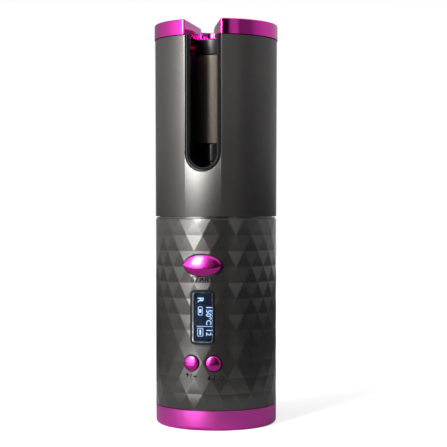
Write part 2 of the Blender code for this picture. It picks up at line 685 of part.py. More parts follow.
def make_upper_housing():
    edge = UPPER_EDGE
    profile = [
        (UPPER_INNER, UPPER_BOTTOM),
        (GRIP_RADIUS - edge, UPPER_BOTTOM),
        (GRIP_RADIUS, UPPER_BOTTOM + edge),
        (UPPER_TOP_RADIUS, UPPER_TOP - edge),
        (UPPER_TOP_RADIUS - edge, UPPER_TOP),
        (UPPER_INNER, UPPER_TOP),
    ]
    housing = finished("upper_housing", turned(profile, RIM_SEGMENTS), GUNMETAL)
    outline = slot_outline(SLOT_HALF_WIDTH, UPPER_TOP + OVERRUN)
    slot = finished("hair slot cutter", facing(outline, CAP_RADIUS + OVERRUN, 0))
    boolean(housing, "DIFFERENCE", slot)


def make_chamber_liner():
    shell = ring(LINER_INNER, LINER_OUTER, LINER_BOTTOM, LINER_TOP)
    liner = finished("chamber_liner", shell, BLACK_PLASTIC)
    lip_bottom = SLOT_BOTTOM - LINER_WALL
    lip_radius = GRIP_RADIUS - LIP_RECESS
    lip_shape = ring(LINER_INNER + LINER_WALL / 2, lip_radius, lip_bottom, LINER_TOP - CLEARANCE)
    lip = finished("slot lip helper", lip_shape)
    outer = slot_outline(LIP_OUTER_HALF, LINER_TOP + OVERRUN)
    inner = slot_outline(LIP_INNER_HALF, LINER_TOP + OVERRUN)
    reach = CAP_RADIUS + OVERRUN
    boolean(lip, "INTERSECT", finished("lip outline helper", facing(outer, reach, 0)))
    boolean(liner, "UNION", lip)
    boolean(liner, "DIFFERENCE", finished("lip slot cutter", facing(inner, reach, 0)))


def make_top_cap():
    spigot_outer = LINER_INNER - CLEARANCE
    spigot_inner = spigot_outer - CAP_SPIGOT_WALL
    skirt_inner = LINER_OUTER + CLEARANCE
    edge_centre = (CAP_RADIUS - CAP_EDGE, CAP_TOP - CAP_EDGE)
    profile = [
        (0, CAP_DISC_BOTTOM),
        (spigot_inner, CAP_DISC_BOTTOM),
        (spigot_inner, CAP_DISC_BOTTOM - CAP_SPIGOT_DEPTH),
        (spigot_outer, CAP_DISC_BOTTOM - CAP_SPIGOT_DEPTH),
        (spigot_outer, CAP_DISC_BOTTOM),
        (skirt_inner, CAP_DISC_BOTTOM),
        (skirt_inner, CAP_BOTTOM),
        (CAP_RADIUS, CAP_BOTTOM),
        *arc(edge_centre, CAP_EDGE, 0, math.pi / 2, ARC_STEPS),
        (0, CAP_TOP),
    ]
    cap = finished("top_cap_ring", turned(profile, RIM_SEGMENTS), MAGENTA_CHROME)
    bottom = CAP_DISC_BOTTOM - CAP_SPIGOT_DEPTH - OVERRUN
    notch = finished("hair notch cutter", upright(notch_outline(), bottom, CAP_TOP + OVERRUN))
    boolean(cap, "DIFFERENCE", notch)


def make_base():
    corner_centre = (BASE_RADIUS - BASE_CORNER, BASE_CORNER)
    profile = [
        (BASE_FLANGE_INNER, BASE_FLANGE_BOTTOM),
        (BASE_OPENING, BASE_FLANGE_BOTTOM),
        (BASE_OPENING, 0),
        *arc(corner_centre, BASE_CORNER, -math.pi / 2, 0, ARC_STEPS),
        (BASE_RADIUS, BASE_HEIGHT),
        (BASE_SPIGOT_OUTER, BASE_HEIGHT),
        (BASE_SPIGOT_OUTER, BASE_SPIGOT_TOP),
        (BASE_SPIGOT_INNER, BASE_SPIGOT_TOP),
        (BASE_SPIGOT_INNER, BASE_FLANGE_TOP),
        (BASE_FLANGE_INNER, BASE_FLANGE_TOP),
    ]
    base = finished("base_ring", turned(profile, RIM_SEGMENTS), MAGENTA_SATIN)
    plate_shape = rod(BASE_PLATE_RADIUS, 0, BASE_PLATE_THICKNESS, RIM_SEGMENTS)
    plate = finished("base_plate", plate_shape, BLACK_PLASTIC)
    head_ceiling = SCREW_RECESS + SCREW_HEAD_HEIGHT + CLEARANCE
    boss_top = BASE_FLANGE_TOP + BASE_BOSS_HEIGHT
    screw_profile = [
        (0, SCREW_RECESS),
        (SCREW_HEAD, SCREW_RECESS),
        (SCREW_HEAD, SCREW_RECESS + SCREW_HEAD_HEIGHT),
        (SCREW_SHANK, SCREW_RECESS + SCREW_HEAD_HEIGHT),
        (SCREW_SHANK, SCREW_RECESS + SCREW_LENGTH),
        (0, SCREW_RECESS + SCREW_LENGTH),
    ]
    sink_profile = [
        (0, -OVERRUN),
        (SCREW_HEAD + CLEARANCE, -OVERRUN),
        (SCREW_HEAD + CLEARANCE, head_ceiling),
        (SCREW_HOLE, head_ceiling),
        (SCREW_HOLE, BASE_PLATE_THICKNESS + OVERRUN),
        (0, BASE_PLATE_THICKNESS + OVERRUN),
    ]
    places = base_screw_places()
    boss_bottom = BASE_FLANGE_BOTTOM + CLEARANCE
    bosses = [rod(BOSS_RADIUS, boss_bottom, boss_top, centre=place) for place in places]
    holes = [rod(SCREW_HOLE, 0, boss_top + OVERRUN, centre=place) for place in places]
    boolean(base, "UNION", finished("base bosses", merged(*bosses)))
    boolean(base, "DIFFERENCE", finished("base boss holes", merged(*holes)))
    for number, place in enumerate(places, 1):
        finished(f"base_screw_{number}", turned(screw_profile, PIN_SEGMENTS, place), STEEL)
    post_x = CHARGE_BOARD_WIDTH / 2 - CHARGE_POST_INSET
    post_top = CHARGE_BOARD_BOTTOM - CLEARANCE
    posts = [
        rod(CHARGE_POST_RADIUS, BASE_PLATE_THICKNESS / 2, post_top, centre=(x, SOCKET_Y))
        for x in (-post_x, post_x)
    ]
    boolean(plate, "UNION", finished("charge posts", merged(*posts)))
    port_half_width = SOCKET_WIDTH / 2 + CLEARANCE
    port_half_depth = SOCKET_DEPTH / 2 + CLEARANCE
    port_outline = rectangle(
        -port_half_width, port_half_width, SOCKET_Y - port_half_depth, SOCKET_Y + port_half_depth
    )
    port = upright(port_outline, -OVERRUN, BASE_PLATE_THICKNESS + OVERRUN)
    sinks = [turned(sink_profile, PIN_SEGMENTS, place) for place in places]
    boolean(plate, "DIFFERENCE", finished("base plate cutter", merged(port, *sinks)))


def make_charging():
    half_width = SOCKET_WIDTH / 2
    half_depth = SOCKET_DEPTH / 2
    outline = rectangle(-half_width, half_width, SOCKET_Y - half_depth, SOCKET_Y + half_depth)
    socket = finished("charge_socket", upright(outline, SOCKET_RECESS, SOCKET_TOP), STEEL)
    half_width -= SOCKET_MOUTH_WALL
    half_depth -= SOCKET_MOUTH_WALL
    outline = rectangle(-half_width, half_width, SOCKET_Y - half_depth, SOCKET_Y + half_depth)
    mouth = upright(outline, 0, SOCKET_RECESS + SOCKET_MOUTH_DEPTH)
    boolean(socket, "DIFFERENCE", finished("socket mouth cutter", mouth))
    half_width = CHARGE_BOARD_WIDTH / 2
    half_depth = CHARGE_BOARD_DEPTH / 2
    outline = rectangle(-half_width, half_width, SOCKET_Y - half_depth, SOCKET_Y + half_depth)
    board = upright(outline, CHARGE_BOARD_BOTTOM, CHARGE_BOARD_TOP)
    finished("charge_board", board, BOARD_GREEN)


def make_battery():
    c_outline = [
        (FRAME_FRONT, FRAME_BOTTOM),
        (FRAME_WEB + FRAME_THICKNESS, FRAME_BOTTOM),
        (FRAME_WEB + FRAME_THICKNESS, FRAME_TOP),
        (FRAME_FRONT, FRAME_TOP),
        (FRAME_FRONT, FRAME_TOP_PLATE),
        (FRAME_WEB, FRAME_TOP_PLATE),
        (FRAME_WEB, FRAME_BOTTOM + FRAME_THICKNESS),
        (FRAME_FRONT, FRAME_BOTTOM + FRAME_THICKNESS),
    ]
    frame = finished("battery_frame", sideways(c_outline, FRAME_HALF_WIDTH), GREY_PLASTIC)
    room = rod(
        GRIP_INNER - CLEARANCE, FRAME_BOTTOM - OVERRUN, FRAME_TOP + OVERRUN, RIM_SEGMENTS
    )
    boolean(frame, "INTERSECT", finished("frame room helper", room))
    cell_profile = [
        (0, CELL_BOTTOM),
        (CELL_RADIUS, CELL_BOTTOM),
        (CELL_RADIUS, CELL_TOP - CELL_CROWN),
        (CELL_CROWN_RADIUS, CELL_TOP - CELL_CROWN),
        (CELL_CROWN_RADIUS, CELL_TOP),
        (0, CELL_TOP),
    ]
    for name, side in (("battery_cell_left", -1), ("battery_cell_right", 1)):
        cell = turned(cell_profile, BARREL_SEGMENTS, (side * CELL_X, CELL_Y))
        finished(name, cell, CELL_WRAP)
    reach = CELL_X + LINK_WIDTH / 2
    outline = rectangle(-reach, reach, CELL_Y - LINK_WIDTH / 2, CELL_Y + LINK_WIDTH / 2)
    link = upright(outline, LINK_BOTTOM, LINK_BOTTOM + LINK_THICKNESS)
    finished("cell_link", link, NICKEL)


def make_display():
    middle = DISPLAY_MIDDLE
    outline = rounded_rectangle(DISPLAY_WIDTH, DISPLAY_HEIGHT, DISPLAY_CORNER, middle)
    bezel_shape = facing(outline, GRIP_RADIUS + OVERRUN, BEZEL_BACK)
    bezel = finished("display_bezel", bezel_shape, BLACK_GLOSS)
    low = DISPLAY_MIDDLE - DISPLAY_HEIGHT
    high = DISPLAY_MIDDLE + DISPLAY_HEIGHT
    skin = finished("bezel skin helper", rod(GRIP_RADIUS - BEZEL_RECESS, low, high, RIM_SEGMENTS))
    opening_outline = rounded_rectangle(
        DISPLAY_WIDTH - 2 * BEZEL_WALL,
        DISPLAY_HEIGHT - 2 * BEZEL_WALL,
        DISPLAY_CORNER - BEZEL_WALL,
        middle,
    )
    opening = facing(opening_outline, GRIP_RADIUS + 2 * OVERRUN, BEZEL_BACK - OVERRUN)
    boolean(bezel, "INTERSECT", skin)
    boolean(bezel, "DIFFERENCE", finished("bezel opening cutter", opening))
    outline = rounded_rectangle(WINDOW_WIDTH, WINDOW_HEIGHT, WINDOW_CORNER, middle)
    window_shape = facing(outline, GRIP_RADIUS + OVERRUN, BEZEL_BACK)
    window = finished("display_window", window_shape, CLEAR_LENS)
    curve = finished("window curve helper", ring(WINDOW_INNER, WINDOW_OUTER, low, high))
    boolean(window, "INTERSECT", curve)
    front = math.sqrt(WINDOW_INNER**2 - (WINDOW_WIDTH / 2) ** 2) - CLEARANCE
    back = front - LCD_THICKNESS
    finished("lcd_panel", facing(outline, front, back), DISPLAY_BLUE)
    block = facing(outline, back - CLEARANCE, BOARD_FRONT + CLEARANCE)
    finished("display_backlight", block, WHITE_PLASTIC)


def crown_radius(share):
    """Distance of the start key's face from the axis, at a share of its half height. The upper
    face is convex and the lower one is a straight slope, and they meet at the ridge."""
    drop = START_PROUD - START_EDGE_PROUD
    if share < START_RIDGE_SHARE:
        fallen = (START_RIDGE_SHARE - share) / (START_RIDGE_SHARE + 1)
    else:
        fallen = ((share - START_RIDGE_SHARE) / (1 - START_RIDGE_SHARE)) ** 2
    return GRIP_RADIUS + START_PROUD - drop * fallen


def make_start_key():
    body_outline = ellipse(START_HALF_WIDTH, START_HALF_HEIGHT, 0)
    far = GRIP_RADIUS + START_PROUD + OVERRUN
    key = finished("start_button", facing(body_outline, far, START_FLANGE_BACK), MAGENTA_CHROME)
    rise = (1 - START_RIDGE_SHARE) / CROWN_STEPS
    shares = [-1, *[START_RIDGE_SHARE + rise * step for step in range(CROWN_STEPS + 1)]]
    low = -START_HALF_HEIGHT - OVERRUN
    high = START_HALF_HEIGHT + OVERRUN
    profile = [
        (0, low),
        (crown_radius(-1), low),
        *[(crown_radius(share), share * START_HALF_HEIGHT) for share in shares],
        (crown_radius(1), high),
        (0, high),
    ]
    crown = finished("start crown helper", turned(profile, 2 * RIM_SEGMENTS))
    flange_outline = ellipse(START_FLANGE_HALF_WIDTH, START_FLANGE_HALF_HEIGHT, 0)
    flange_shape = facing(flange_outline, START_FLANGE_FRONT, START_FLANGE_BACK - CLEARANCE)
    flange = finished("start flange helper", flange_shape)
    stem = finished("start stem helper", rod(START_STEM_RADIUS, START_STEM_END, START_FLANGE_FRONT))
    stem.rotation_euler = (math.pi / 2, 0, 0)
    for piece in (key, crown, flange, stem):
        piece.location = (0, 0, START_MIDDLE)
    boolean(key, "INTERSECT", crown)
    boolean(key, "UNION", flange, stem)


def key_pose(side):
    """Lays what is made along +Z out along the key's radius, left or right of the middle."""
    direction = Vector((side * math.sin(KEY_ANGLE), -math.cos(KEY_ANGLE), 0))
    lean = direction.to_track_quat("Z", "Y").to_matrix().to_4x4()
    return Matrix.Translation((0, 0, KEY_MIDDLE)) @ lean


def make_round_keys():
    edge = GRIP_RADIUS + KEY_EDGE_PROUD
    rise = KEY_PROUD - KEY_EDGE_PROUD
    dome = [
        (KEY_RADIUS * math.cos(angle), edge + rise * math.sin(angle))
        for angle in (math.pi / 2 * step / ARC_STEPS for step in range(ARC_STEPS))
    ]
    profile = [
        (0, KEY_STEM_END),
        (KEY_STEM_RADIUS, KEY_STEM_END),
        (KEY_STEM_RADIUS, KEY_FLANGE_BACK),
        (KEY_FLANGE_RADIUS, KEY_FLANGE_BACK),
        (KEY_FLANGE_RADIUS, KEY_FLANGE_FRONT),
        (KEY_RADIUS, KEY_FLANGE_FRONT),
        *dome,
        (0, edge + rise),
    ]
    for name, side in (("plus_minus_button", -1), ("power_button", 1)):
        key = finished(name, turned(profile, BARREL_SEGMENTS), MAGENTA_CHROME)
        key.matrix_world = key_pose(side)


def make_switch(name, x, middle):
    half = SWITCH_WIDTH / 2
    outline = rectangle(x - half, x + half, middle - half, middle + half)
    shape = facing(outline, SWITCH_BACK + SWITCH_BODY, SWITCH_BACK)
    front = min(shape.faces, key=lambda face: face.calc_center_median().y)
    bmesh.ops.inset_region(shape, faces=[front], thickness=SWITCH_PLUNGER_INSET)
    grown = bmesh.ops.extrude_face_region(shape, geom=[front])
    moved = [item for item in grown["geom"] if isinstance(item, bmesh.types.BMVert)]
    bmesh.ops.translate(shape, verts=moved, vec=(0, -SWITCH_PLUNGER, 0))
    bmesh.ops.delete(shape, geom=[front], context="FACES_ONLY")
    finished(name, shape, GREY_PLASTIC)


def make_board():
    half = BOARD_WIDTH / 2
    outline = rectangle(-half, half, BOARD_BOTTOM, BOARD_TOP)
    finished("main_board", facing(outline, BOARD_FRONT, BOARD_BACK), BOARD_GREEN)
    key_x = SWITCH_FRONT * math.tan(KEY_ANGLE)
    make_switch("start_switch", 0, START_MIDDLE)
    make_switch("plus_minus_switch", -key_x, KEY_MIDDLE)
    make_switch("power_switch", key_x, KEY_MIDDLE)
    buzzer_shape = rod(BUZZER_RADIUS, 0, BUZZER_HEIGHT, BARREL_SEGMENTS)
    buzzer = finished("buzzer", buzzer_shape, BLACK_PLASTIC)
    buzzer_x, buzzer_z = BUZZER_SHARES
    buzzer.rotation_euler = (-math.pi / 2, 0, 0)
    buzzer.location = (
        buzzer_x * BOARD_WIDTH,
        -BOARD_BACK + CLEARANCE,
        BOARD_BOTTOM + buzzer_z * (BOARD_TOP - BOARD_BOTTOM),
    )


def make_bulkhead():
    idler, pinion, *_ = gear_places()
    plate_shape = rod(NECK_OUTER, PLATE_BOTTOM, PLATE_TOP, RIM_SEGMENTS)
    plate = finished("chassis_plate", plate_shape, GREY_PLASTIC)
    low = PLATE_BOTTOM - OVERRUN
    high = PLATE_TOP + OVERRUN
    pin_hole = AXLE_RADIUS + CLEARANCE
    holes = [(POST_BORE, (0, 0)), (pin_hole, tuple(idler)), (pin_hole, tuple(pinion))]
    head_bottom = PLATE_TOP + CLEARANCE
    screw_profile = [
        (0, PLATE_TOP - SCREW_LENGTH),
        (SCREW_SHANK, PLATE_TOP - SCREW_LENGTH),
        (SCREW_SHANK, head_bottom),
        (SCREW_HEAD, head_bottom),
        (SCREW_HEAD, head_bottom + SCREW_HEAD_HEIGHT),
        (0, head_bottom + SCREW_HEAD_HEIGHT),
    ]
    for number, place in enumerate(chassis_screw_places(), 1):
        holes.append((SCREW_HOLE, place))
        finished(f"chassis_screw_{number}", turned(screw_profile, PIN_SEGMENTS, place), STEEL)
    cutters = [rod(radius, low, high, centre=place) for radius, place in holes]
    boolean(plate, "DIFFERENCE", finished("plate holes cutter", merged(*cutters)))
    skirt_inner = NECK_OUTER - COVER_SKIRT_WALL
    opening = HUB_OUTER + RUNNING_GAP
    cover_profile = [
        (opening, COVER_UNDERSIDE),
        (skirt_inner, COVER_UNDERSIDE),
        (skirt_inner, PLATE_TOP + CLEARANCE),
        (NECK_OUTER, PLATE_TOP + CLEARANCE),
        (NECK_OUTER, COVER_TOP),
        (opening, COVER_TOP),
    ]
    finished("gear_cover", turned(cover_profile, RIM_SEGMENTS), BLACK_PLASTIC)
    near = tip_radius(ROTOR_TEETH) + SENSOR_GAP
    half = SENSOR_WIDTH / 2
    outline = rectangle(-near - SENSOR_LENGTH, -near, -half, half)
    bottom = PLATE_TOP + CLEARANCE
    sensor = upright(outline, bottom, bottom + SENSOR_HEIGHT)
    finished("home_sensor", sensor, BOARD_GREEN)


def make_gear_train():
    idler, pinion, idler_angle, idler_phase, pinion_phase = gear_places()
    bore = AXLE_RADIUS + CLEARANCE
    trains = (
        ("rotor_gear", ROTOR_TEETH, HUB_OUTER + CLEARANCE, idler_angle, (0, 0), NYLON),
        ("idler_gear", IDLER_TEETH, bore, idler_phase, idler, NYLON),
        ("motor_pinion", PINION_TEETH, bore, pinion_phase, pinion, BRASS),
    )
    for name, teeth, bore_radius, phase, place, finish in trains:
        shape, bore_shape = gear(teeth, bore_radius, phase, 0, GEAR_WIDTH)
        wheel = finished(name, shape, finish)
        cutter = finished(f"{name} bore", bore_shape)
        for piece in (wheel, cutter):
            piece.location = (*place, GEAR_BOTTOM)
        boolean(wheel, "DIFFERENCE", cutter)
    shoulder = AXLE_RADIUS + AXLE_SHOULDER_WIDTH
    shoulder_bottom = GEAR_BOTTOM - CLEARANCE - AXLE_SHOULDER_HEIGHT
    axle_profile = [
        (0, PLATE_BOTTOM),
        (AXLE_RADIUS, PLATE_BOTTOM),
        (AXLE_RADIUS, shoulder_bottom),
        (shoulder, shoulder_bottom),
        (shoulder, GEAR_BOTTOM - CLEARANCE),
        (AXLE_RADIUS, GEAR_BOTTOM - CLEARANCE),
        (AXLE_RADIUS, COVER_UNDERSIDE - CLEARANCE),
        (0, COVER_UNDERSIDE - CLEARANCE),
    ]
    finished("idler_axle", turned(axle_profile, PIN_SEGMENTS, tuple(idler)), STEEL)
    shaft_bottom = MOTOR_TOP - SHAFT_SOCKET_DEPTH
    shaft = rod(AXLE_RADIUS, shaft_bottom - GEAR_BOTTOM, GEAR_WIDTH + CLEARANCE)
    finished("motor_shaft", shaft, STEEL).location = (*pinion, GEAR_BOTTOM)
    half_depth = MOTOR_DEPTH / 2
    half_width = MOTOR_WIDTH / 2
    outline = rectangle(-half_depth, half_depth, -half_width, half_width)
    motor = finished("gear_motor", upright(outline, GEARBOX_BOTTOM, MOTOR_TOP), STEEL)
    can_round = half_width - MOTOR_CAN_INSET
    half_flat = math.acos((half_depth - MOTOR_CAN_INSET) / can_round)
    right = arc((0, 0), can_round, half_flat, math.pi - half_flat, 2 * ARC_STEPS)
    left = arc((0, 0), can_round, math.pi + half_flat, math.tau - half_flat, 2 * ARC_STEPS)
    can_shape = upright(right + left, MOTOR_BOTTOM, GEARBOX_BOTTOM + MOTOR_CAN_INSET)
    can = finished("motor can helper", can_shape)
    socket_bottom = shaft_bottom - CLEARANCE
    socket_shape = rod(AXLE_RADIUS + CLEARANCE, socket_bottom, MOTOR_TOP + OVERRUN)
    socket = finished("shaft socket cutter", socket_shape)
    for piece in (motor, can, socket):
        piece.location = (*pinion, 0)
        piece.rotation_euler = (0, 0, MOTOR_ANGLE)
    boolean(motor, "UNION", can)
    boolean(motor, "DIFFERENCE", socket)


def make_rotor():
    disc_profile = [
        (HUB_INNER, GEAR_BOTTOM),
        (HUB_OUTER, GEAR_BOTTOM),
        (HUB_OUTER, ROTOR_BOTTOM),
        (ROTOR_RADIUS, ROTOR_BOTTOM),
        (ROTOR_RADIUS, ROTOR_TOP),
        (HUB_INNER, ROTOR_TOP),
    ]
    rotor = finished("winding_rotor", turned(disc_profile, RIM_SEGMENTS), BLACK_PLASTIC)
    middle = BARREL_RADIUS + FINGER_OFFSET_SHARE * (LINER_INNER - BARREL_RADIUS)
    near = middle - FINGER_THICKNESS / 2
    far = middle + FINGER_THICKNESS / 2
    top = CAP_DISC_BOTTOM - FINGER_TOP_GAP
    fingers = []
    for middle_angle in (0, math.pi):
        start = middle_angle - FINGER_HALF_ANGLE
        end = middle_angle + FINGER_HALF_ANGLE
        outline = arc((0, 0), far, start, end, ARC_STEPS) + arc((0, 0), near, end, start, ARC_STEPS)
        fingers.append(upright(outline, ROTOR_TOP - ROTOR_THICKNESS / 2, top))
    boolean(rotor, "UNION", finished("winding fingers helper", merged(*fingers)))


def make_post_and_bush():
    flange = POST_RADIUS + POST_FLANGE_WIDTH
    flange_top = POST_BOTTOM + POST_FLANGE_HEIGHT
    post_profile = [
        (POST_BORE, POST_BOTTOM),
        (flange, POST_BOTTOM),
        (flange, flange_top),
        (POST_RADIUS, flange_top),
        (POST_RADIUS, POST_TOP),
        (POST_BORE, POST_TOP),
    ]
    finished("barrel_post", turned(post_profile, BARREL_SEGMENTS), STEEL)
    bush_profile = [
        (BUSH_INNER, BUSH_BOTTOM),
        (HUB_OUTER, BUSH_BOTTOM),
        (HUB_OUTER, BUSH_FLANGE_TOP),
        (BUSH_OUTER, BUSH_FLANGE_TOP),
        (BUSH_OUTER, ROTOR_TOP),
        (BUSH_INNER, ROTOR_TOP),
    ]
    finished("rotor_bush", turned(bush_profile, BARREL_SEGMENTS), BRASS)


def make_barrel():
    tube = ring(BARREL_INNER, BARREL_RADIUS, BARREL_BOTTOM, BARREL_TOP, BARREL_SEGMENTS)
    finished("heated_barrel", tube, TAN_CERAMIC)
    collar_profile = [
        (BUSH_INNER, COLLAR_BOTTOM),
        (BARREL_RADIUS, COLLAR_BOTTOM),
        (BARREL_RADIUS, COLLAR_TOP),
        (BARREL_PLUG, COLLAR_TOP),
        (BARREL_PLUG, POST_TOP),
        (BUSH_INNER, POST_TOP),
    ]
    finished("barrel_base_collar", turned(collar_profile, BARREL_SEGMENTS), BLACK_GLOSS)
    edge_centre = (BARREL_RADIUS - END_CAP_EDGE, END_CAP_TOP - END_CAP_EDGE)
    cap_profile = [
        (0, END_CAP_BOTTOM - BARREL_SPIGOT),
        (BARREL_PLUG, END_CAP_BOTTOM - BARREL_SPIGOT),
        (BARREL_PLUG, END_CAP_BOTTOM),
        (BARREL_RADIUS, END_CAP_BOTTOM),
        *arc(edge_centre, END_CAP_EDGE, 0, math.pi / 2, ARC_STEPS),
        (0, END_CAP_TOP),
    ]
    finished("barrel_end_cap", turned(cap_profile, BARREL_SEGMENTS), BLACK_GLOSS)


def make_heater():
    block_shape = rod(BARREL_PLUG, HEATER_BOTTOM, HEATER_TOP, BARREL_SEGMENTS)
    block = finished("heater_block", block_shape, ALUMINIUM)
    half_length = HEATER_SLOT_LENGTH / 2
    half_width = HEATER_SLOT_WIDTH / 2
    slot_shape = upright(
        rectangle(-half_length, half_length, -half_width, half_width),
        HEATER_BOTTOM - OVERRUN,
        HEATER_TOP + OVERRUN,
    )
    bore_place = (0, THERMISTOR_OFFSET)
    bore_top = HEATER_BOTTOM + THERMISTOR_LENGTH + 2 * CLEARANCE
    bore_bottom = HEATER_BOTTOM - OVERRUN
    bore = rod(THERMISTOR_RADIUS + CLEARANCE, bore_bottom, bore_top, centre=bore_place)
    boolean(block, "DIFFERENCE", finished("heater block cutter", merged(slot_shape, bore)))
    half_length -= CLEARANCE
    half_width -= CLEARANCE
    outline = rectangle(-half_length, half_length, -half_width, half_width)
    plate_shape = upright(outline, HEATER_BOTTOM, HEATER_TOP)
    finished("heater_plate", plate_shape, WHITE_PLASTIC)
    bead_bottom = HEATER_BOTTOM + CLEARANCE
    bead_top = bead_bottom + THERMISTOR_LENGTH
    bead = rod(THERMISTOR_RADIUS, bead_bottom, bead_top, centre=bore_place)
    finished("thermistor", bead, WHITE_PLASTIC)


def smooth_route(points, count):
    """Evenly spread points on a smooth curve through the given ones."""
    padded = [2 * points[0] - points[1], *points, 2 * points[-1] - points[-2]]
    route = []
    spans = len(points) - 1
    for step in range(count + 1):
        place = min(step * spans / count, spans - MERGE_DISTANCE)
        span = int(place)
        t = place - span
        before, start, end, after = padded[span : span + 4]
        route.append(
            start
            + (end - before) * (t / 2)
            + (2 * before - 5 * start + 4 * end - after) * (t * t / 2)
            + (3 * start - before - 3 * end + after) * (t**3 / 2)
        )
    return route


def make_lead(name, radius, points, finish):
    """A lead as a round tube, straight where it leaves what it is joined to."""
    curve = bpy.data.curves.new(name, "CURVE")
    curve.dimensions = "3D"
    curve.bevel_depth = radius
    curve.bevel_resolution = 1
    curve.use_fill_caps = True
    route = smooth_route([Vector(point) for point in points], LEAD_POINTS)
    spline = curve.splines.new("POLY")
    spline.points.add(len(route) - 1)
    for target, point in zip(spline.points, route):
        target.co = (*point, 1)
    curve.materials.append(material(name, finish))
    lead = bpy.data.objects.new(name, curve)
    bpy.context.scene.collection.objects.link(lead)


def route_points(origin, target, shares):
    """Points between two places, each at its own share of the way in X, Y and Z."""
    reach = target - origin
    return [
        origin + Vector((reach.x * along_x, reach.y * along_y, reach.z * along_z))
        for along_x, along_y, along_z in shares
    ]


def make_leads():
    _, pinion, *_ = gear_places()
    behind = -BOARD_BACK + CLEARANCE
    high = (BOARD_TOP + MOTOR_BOTTOM) / 2
    column = LEAD_COLUMN_SHARE * BOARD_WIDTH
    reach = Vector((column, behind, PLATE_BOTTOM))
    heater_route = route_points(Vector((0, 0, high)), reach, HEATER_LEAD_SHARES)
    heater_route += [(0, 0, z) for z in (PLATE_TOP, BUSH_FLANGE_TOP, COLLAR_BOTTOM, POST_TOP)]
    make_lead("heater_lead", POWER_LEAD_RADIUS, heater_route, RED_LEAD)
    side = pinion.x - MOTOR_DEPTH / 2 - CLEARANCE
    level = GEARBOX_BOTTOM - MOTOR_CAN_LENGTH / 3
    reach = Vector((side, behind, high))
    motor_route = route_points(Vector((0, 0, level)), reach, MOTOR_LEAD_SHARES)
    make_lead("motor_lead", SIGNAL_LEAD_RADIUS, motor_route, BLUE_LEAD)
    start = Vector((-CELL_X, CELL_Y - CELL_RADIUS / 2, FRAME_TOP + CLEARANCE))
    above = start + Vector((0, 0, LEAD_STRAIGHT))
    reach = Vector((-CELL_X, behind, high))
    plane = Vector((0, start.y, above.z))
    battery_route = [start, above, *route_points(plane, reach, BATTERY_LEAD_SHARES)]
    make_lead("battery_lead", POWER_LEAD_RADIUS, battery_route, RED_LEAD)
    lead_y = SOCKET_Y - CHARGE_BOARD_DEPTH / 2 + CHARGE_LEAD_INSET
    start = Vector((0, lead_y, CHARGE_BOARD_TOP + CLEARANCE))
    under = FRAME_BOTTOM - LEAD_STRAIGHT / 2
    end = Vector((0, behind, BOARD_BOTTOM + CHARGE_LEAD_RISE))
    charge_route = [
        start,
        start + Vector((0, 0, LEAD_STRAIGHT)),
        (0, FRAME_FRONT, under),
        (0, (FRAME_FRONT + behind) / 2, (under + end.z) / 2),
        end + Vector((0, LEAD_STRAIGHT, 0)),
        end,
    ]
    make_lead("charge_lead", SIGNAL_LEAD_RADIUS, charge_route, BLUE_LEAD)


def main():
    clear_scene()
    make_base()
    make_charging()
    make_lower_housing()
    make_battery()
    make_board()
    make_display()
    make_start_key()
    make_round_keys()
    make_bulkhead()
    make_gear_train()
    make_post_and_bush()
    make_rotor()
    make_barrel()
    make_heater()
    make_upper_housing()
    make_chamber_liner()
    make_top_cap()
    make_leads()


main()
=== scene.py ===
"""Finishes for an automatic hair curler: shells, cap, keys, display, barrel and rotor in fine
detail round its fixed frame, with their materials, a pale studio and a camera."""

import math
import bmesh
import bpy
from bpy.props import FloatProperty, FloatVectorProperty, IntProperty, PointerProperty
from bpy.types import Operator, Panel, PropertyGroup
from mathutils import Matrix, Vector
from mathutils.bvhtree import BVHTree


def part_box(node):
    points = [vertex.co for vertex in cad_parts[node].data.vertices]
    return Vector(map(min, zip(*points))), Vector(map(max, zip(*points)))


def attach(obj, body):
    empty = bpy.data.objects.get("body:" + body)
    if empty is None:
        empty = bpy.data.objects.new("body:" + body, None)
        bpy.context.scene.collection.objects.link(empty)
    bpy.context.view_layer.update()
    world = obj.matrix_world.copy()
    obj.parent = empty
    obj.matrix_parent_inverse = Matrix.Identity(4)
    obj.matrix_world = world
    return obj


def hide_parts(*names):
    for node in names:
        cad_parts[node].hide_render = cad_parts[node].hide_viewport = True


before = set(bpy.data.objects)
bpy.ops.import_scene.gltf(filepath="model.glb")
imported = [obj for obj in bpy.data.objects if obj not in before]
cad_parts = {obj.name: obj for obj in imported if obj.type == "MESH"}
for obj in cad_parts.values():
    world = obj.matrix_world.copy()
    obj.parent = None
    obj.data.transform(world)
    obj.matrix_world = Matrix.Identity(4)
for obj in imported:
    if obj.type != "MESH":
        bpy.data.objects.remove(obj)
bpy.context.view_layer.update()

bl_info = {
    "name": "Hair curler finishes",
    "version": (1, 0, 0),
    "blender": (4, 5, 0),
    "location": "3D View > Sidebar > Curler",
    "description": "Makes the fine pieces and materials of an automatic hair curler",
    "category": "Object",
}

# Shared small sizes
GAP = 0.0003
OVERRUN = 0.0020
MERGE_DISTANCE = 0.000002
SEAM_MERGE = 0.00001
SMOOTH_ANGLE = math.radians(34)
SHARP_ANGLE = 40.0

# How finely round forms are divided
HOUSING_COLUMNS = 220
LINER_COLUMNS = 120
CAP_STEPS = 168
WIDE_SIDES = 160
NECK_SIDES = 128
BARREL_SIDES = 128
KEY_SIDES = 96
HOLE_SIDES = 64
SCREW_SIDES = 48
ROD_SIDES = 32
SLOT_STEPS = 36
DOME_STEPS = 24
EDGE_STEPS = 5
CORNER_STEPS = 8

# How the names of the object's own materials start
FAMILY = "curler "

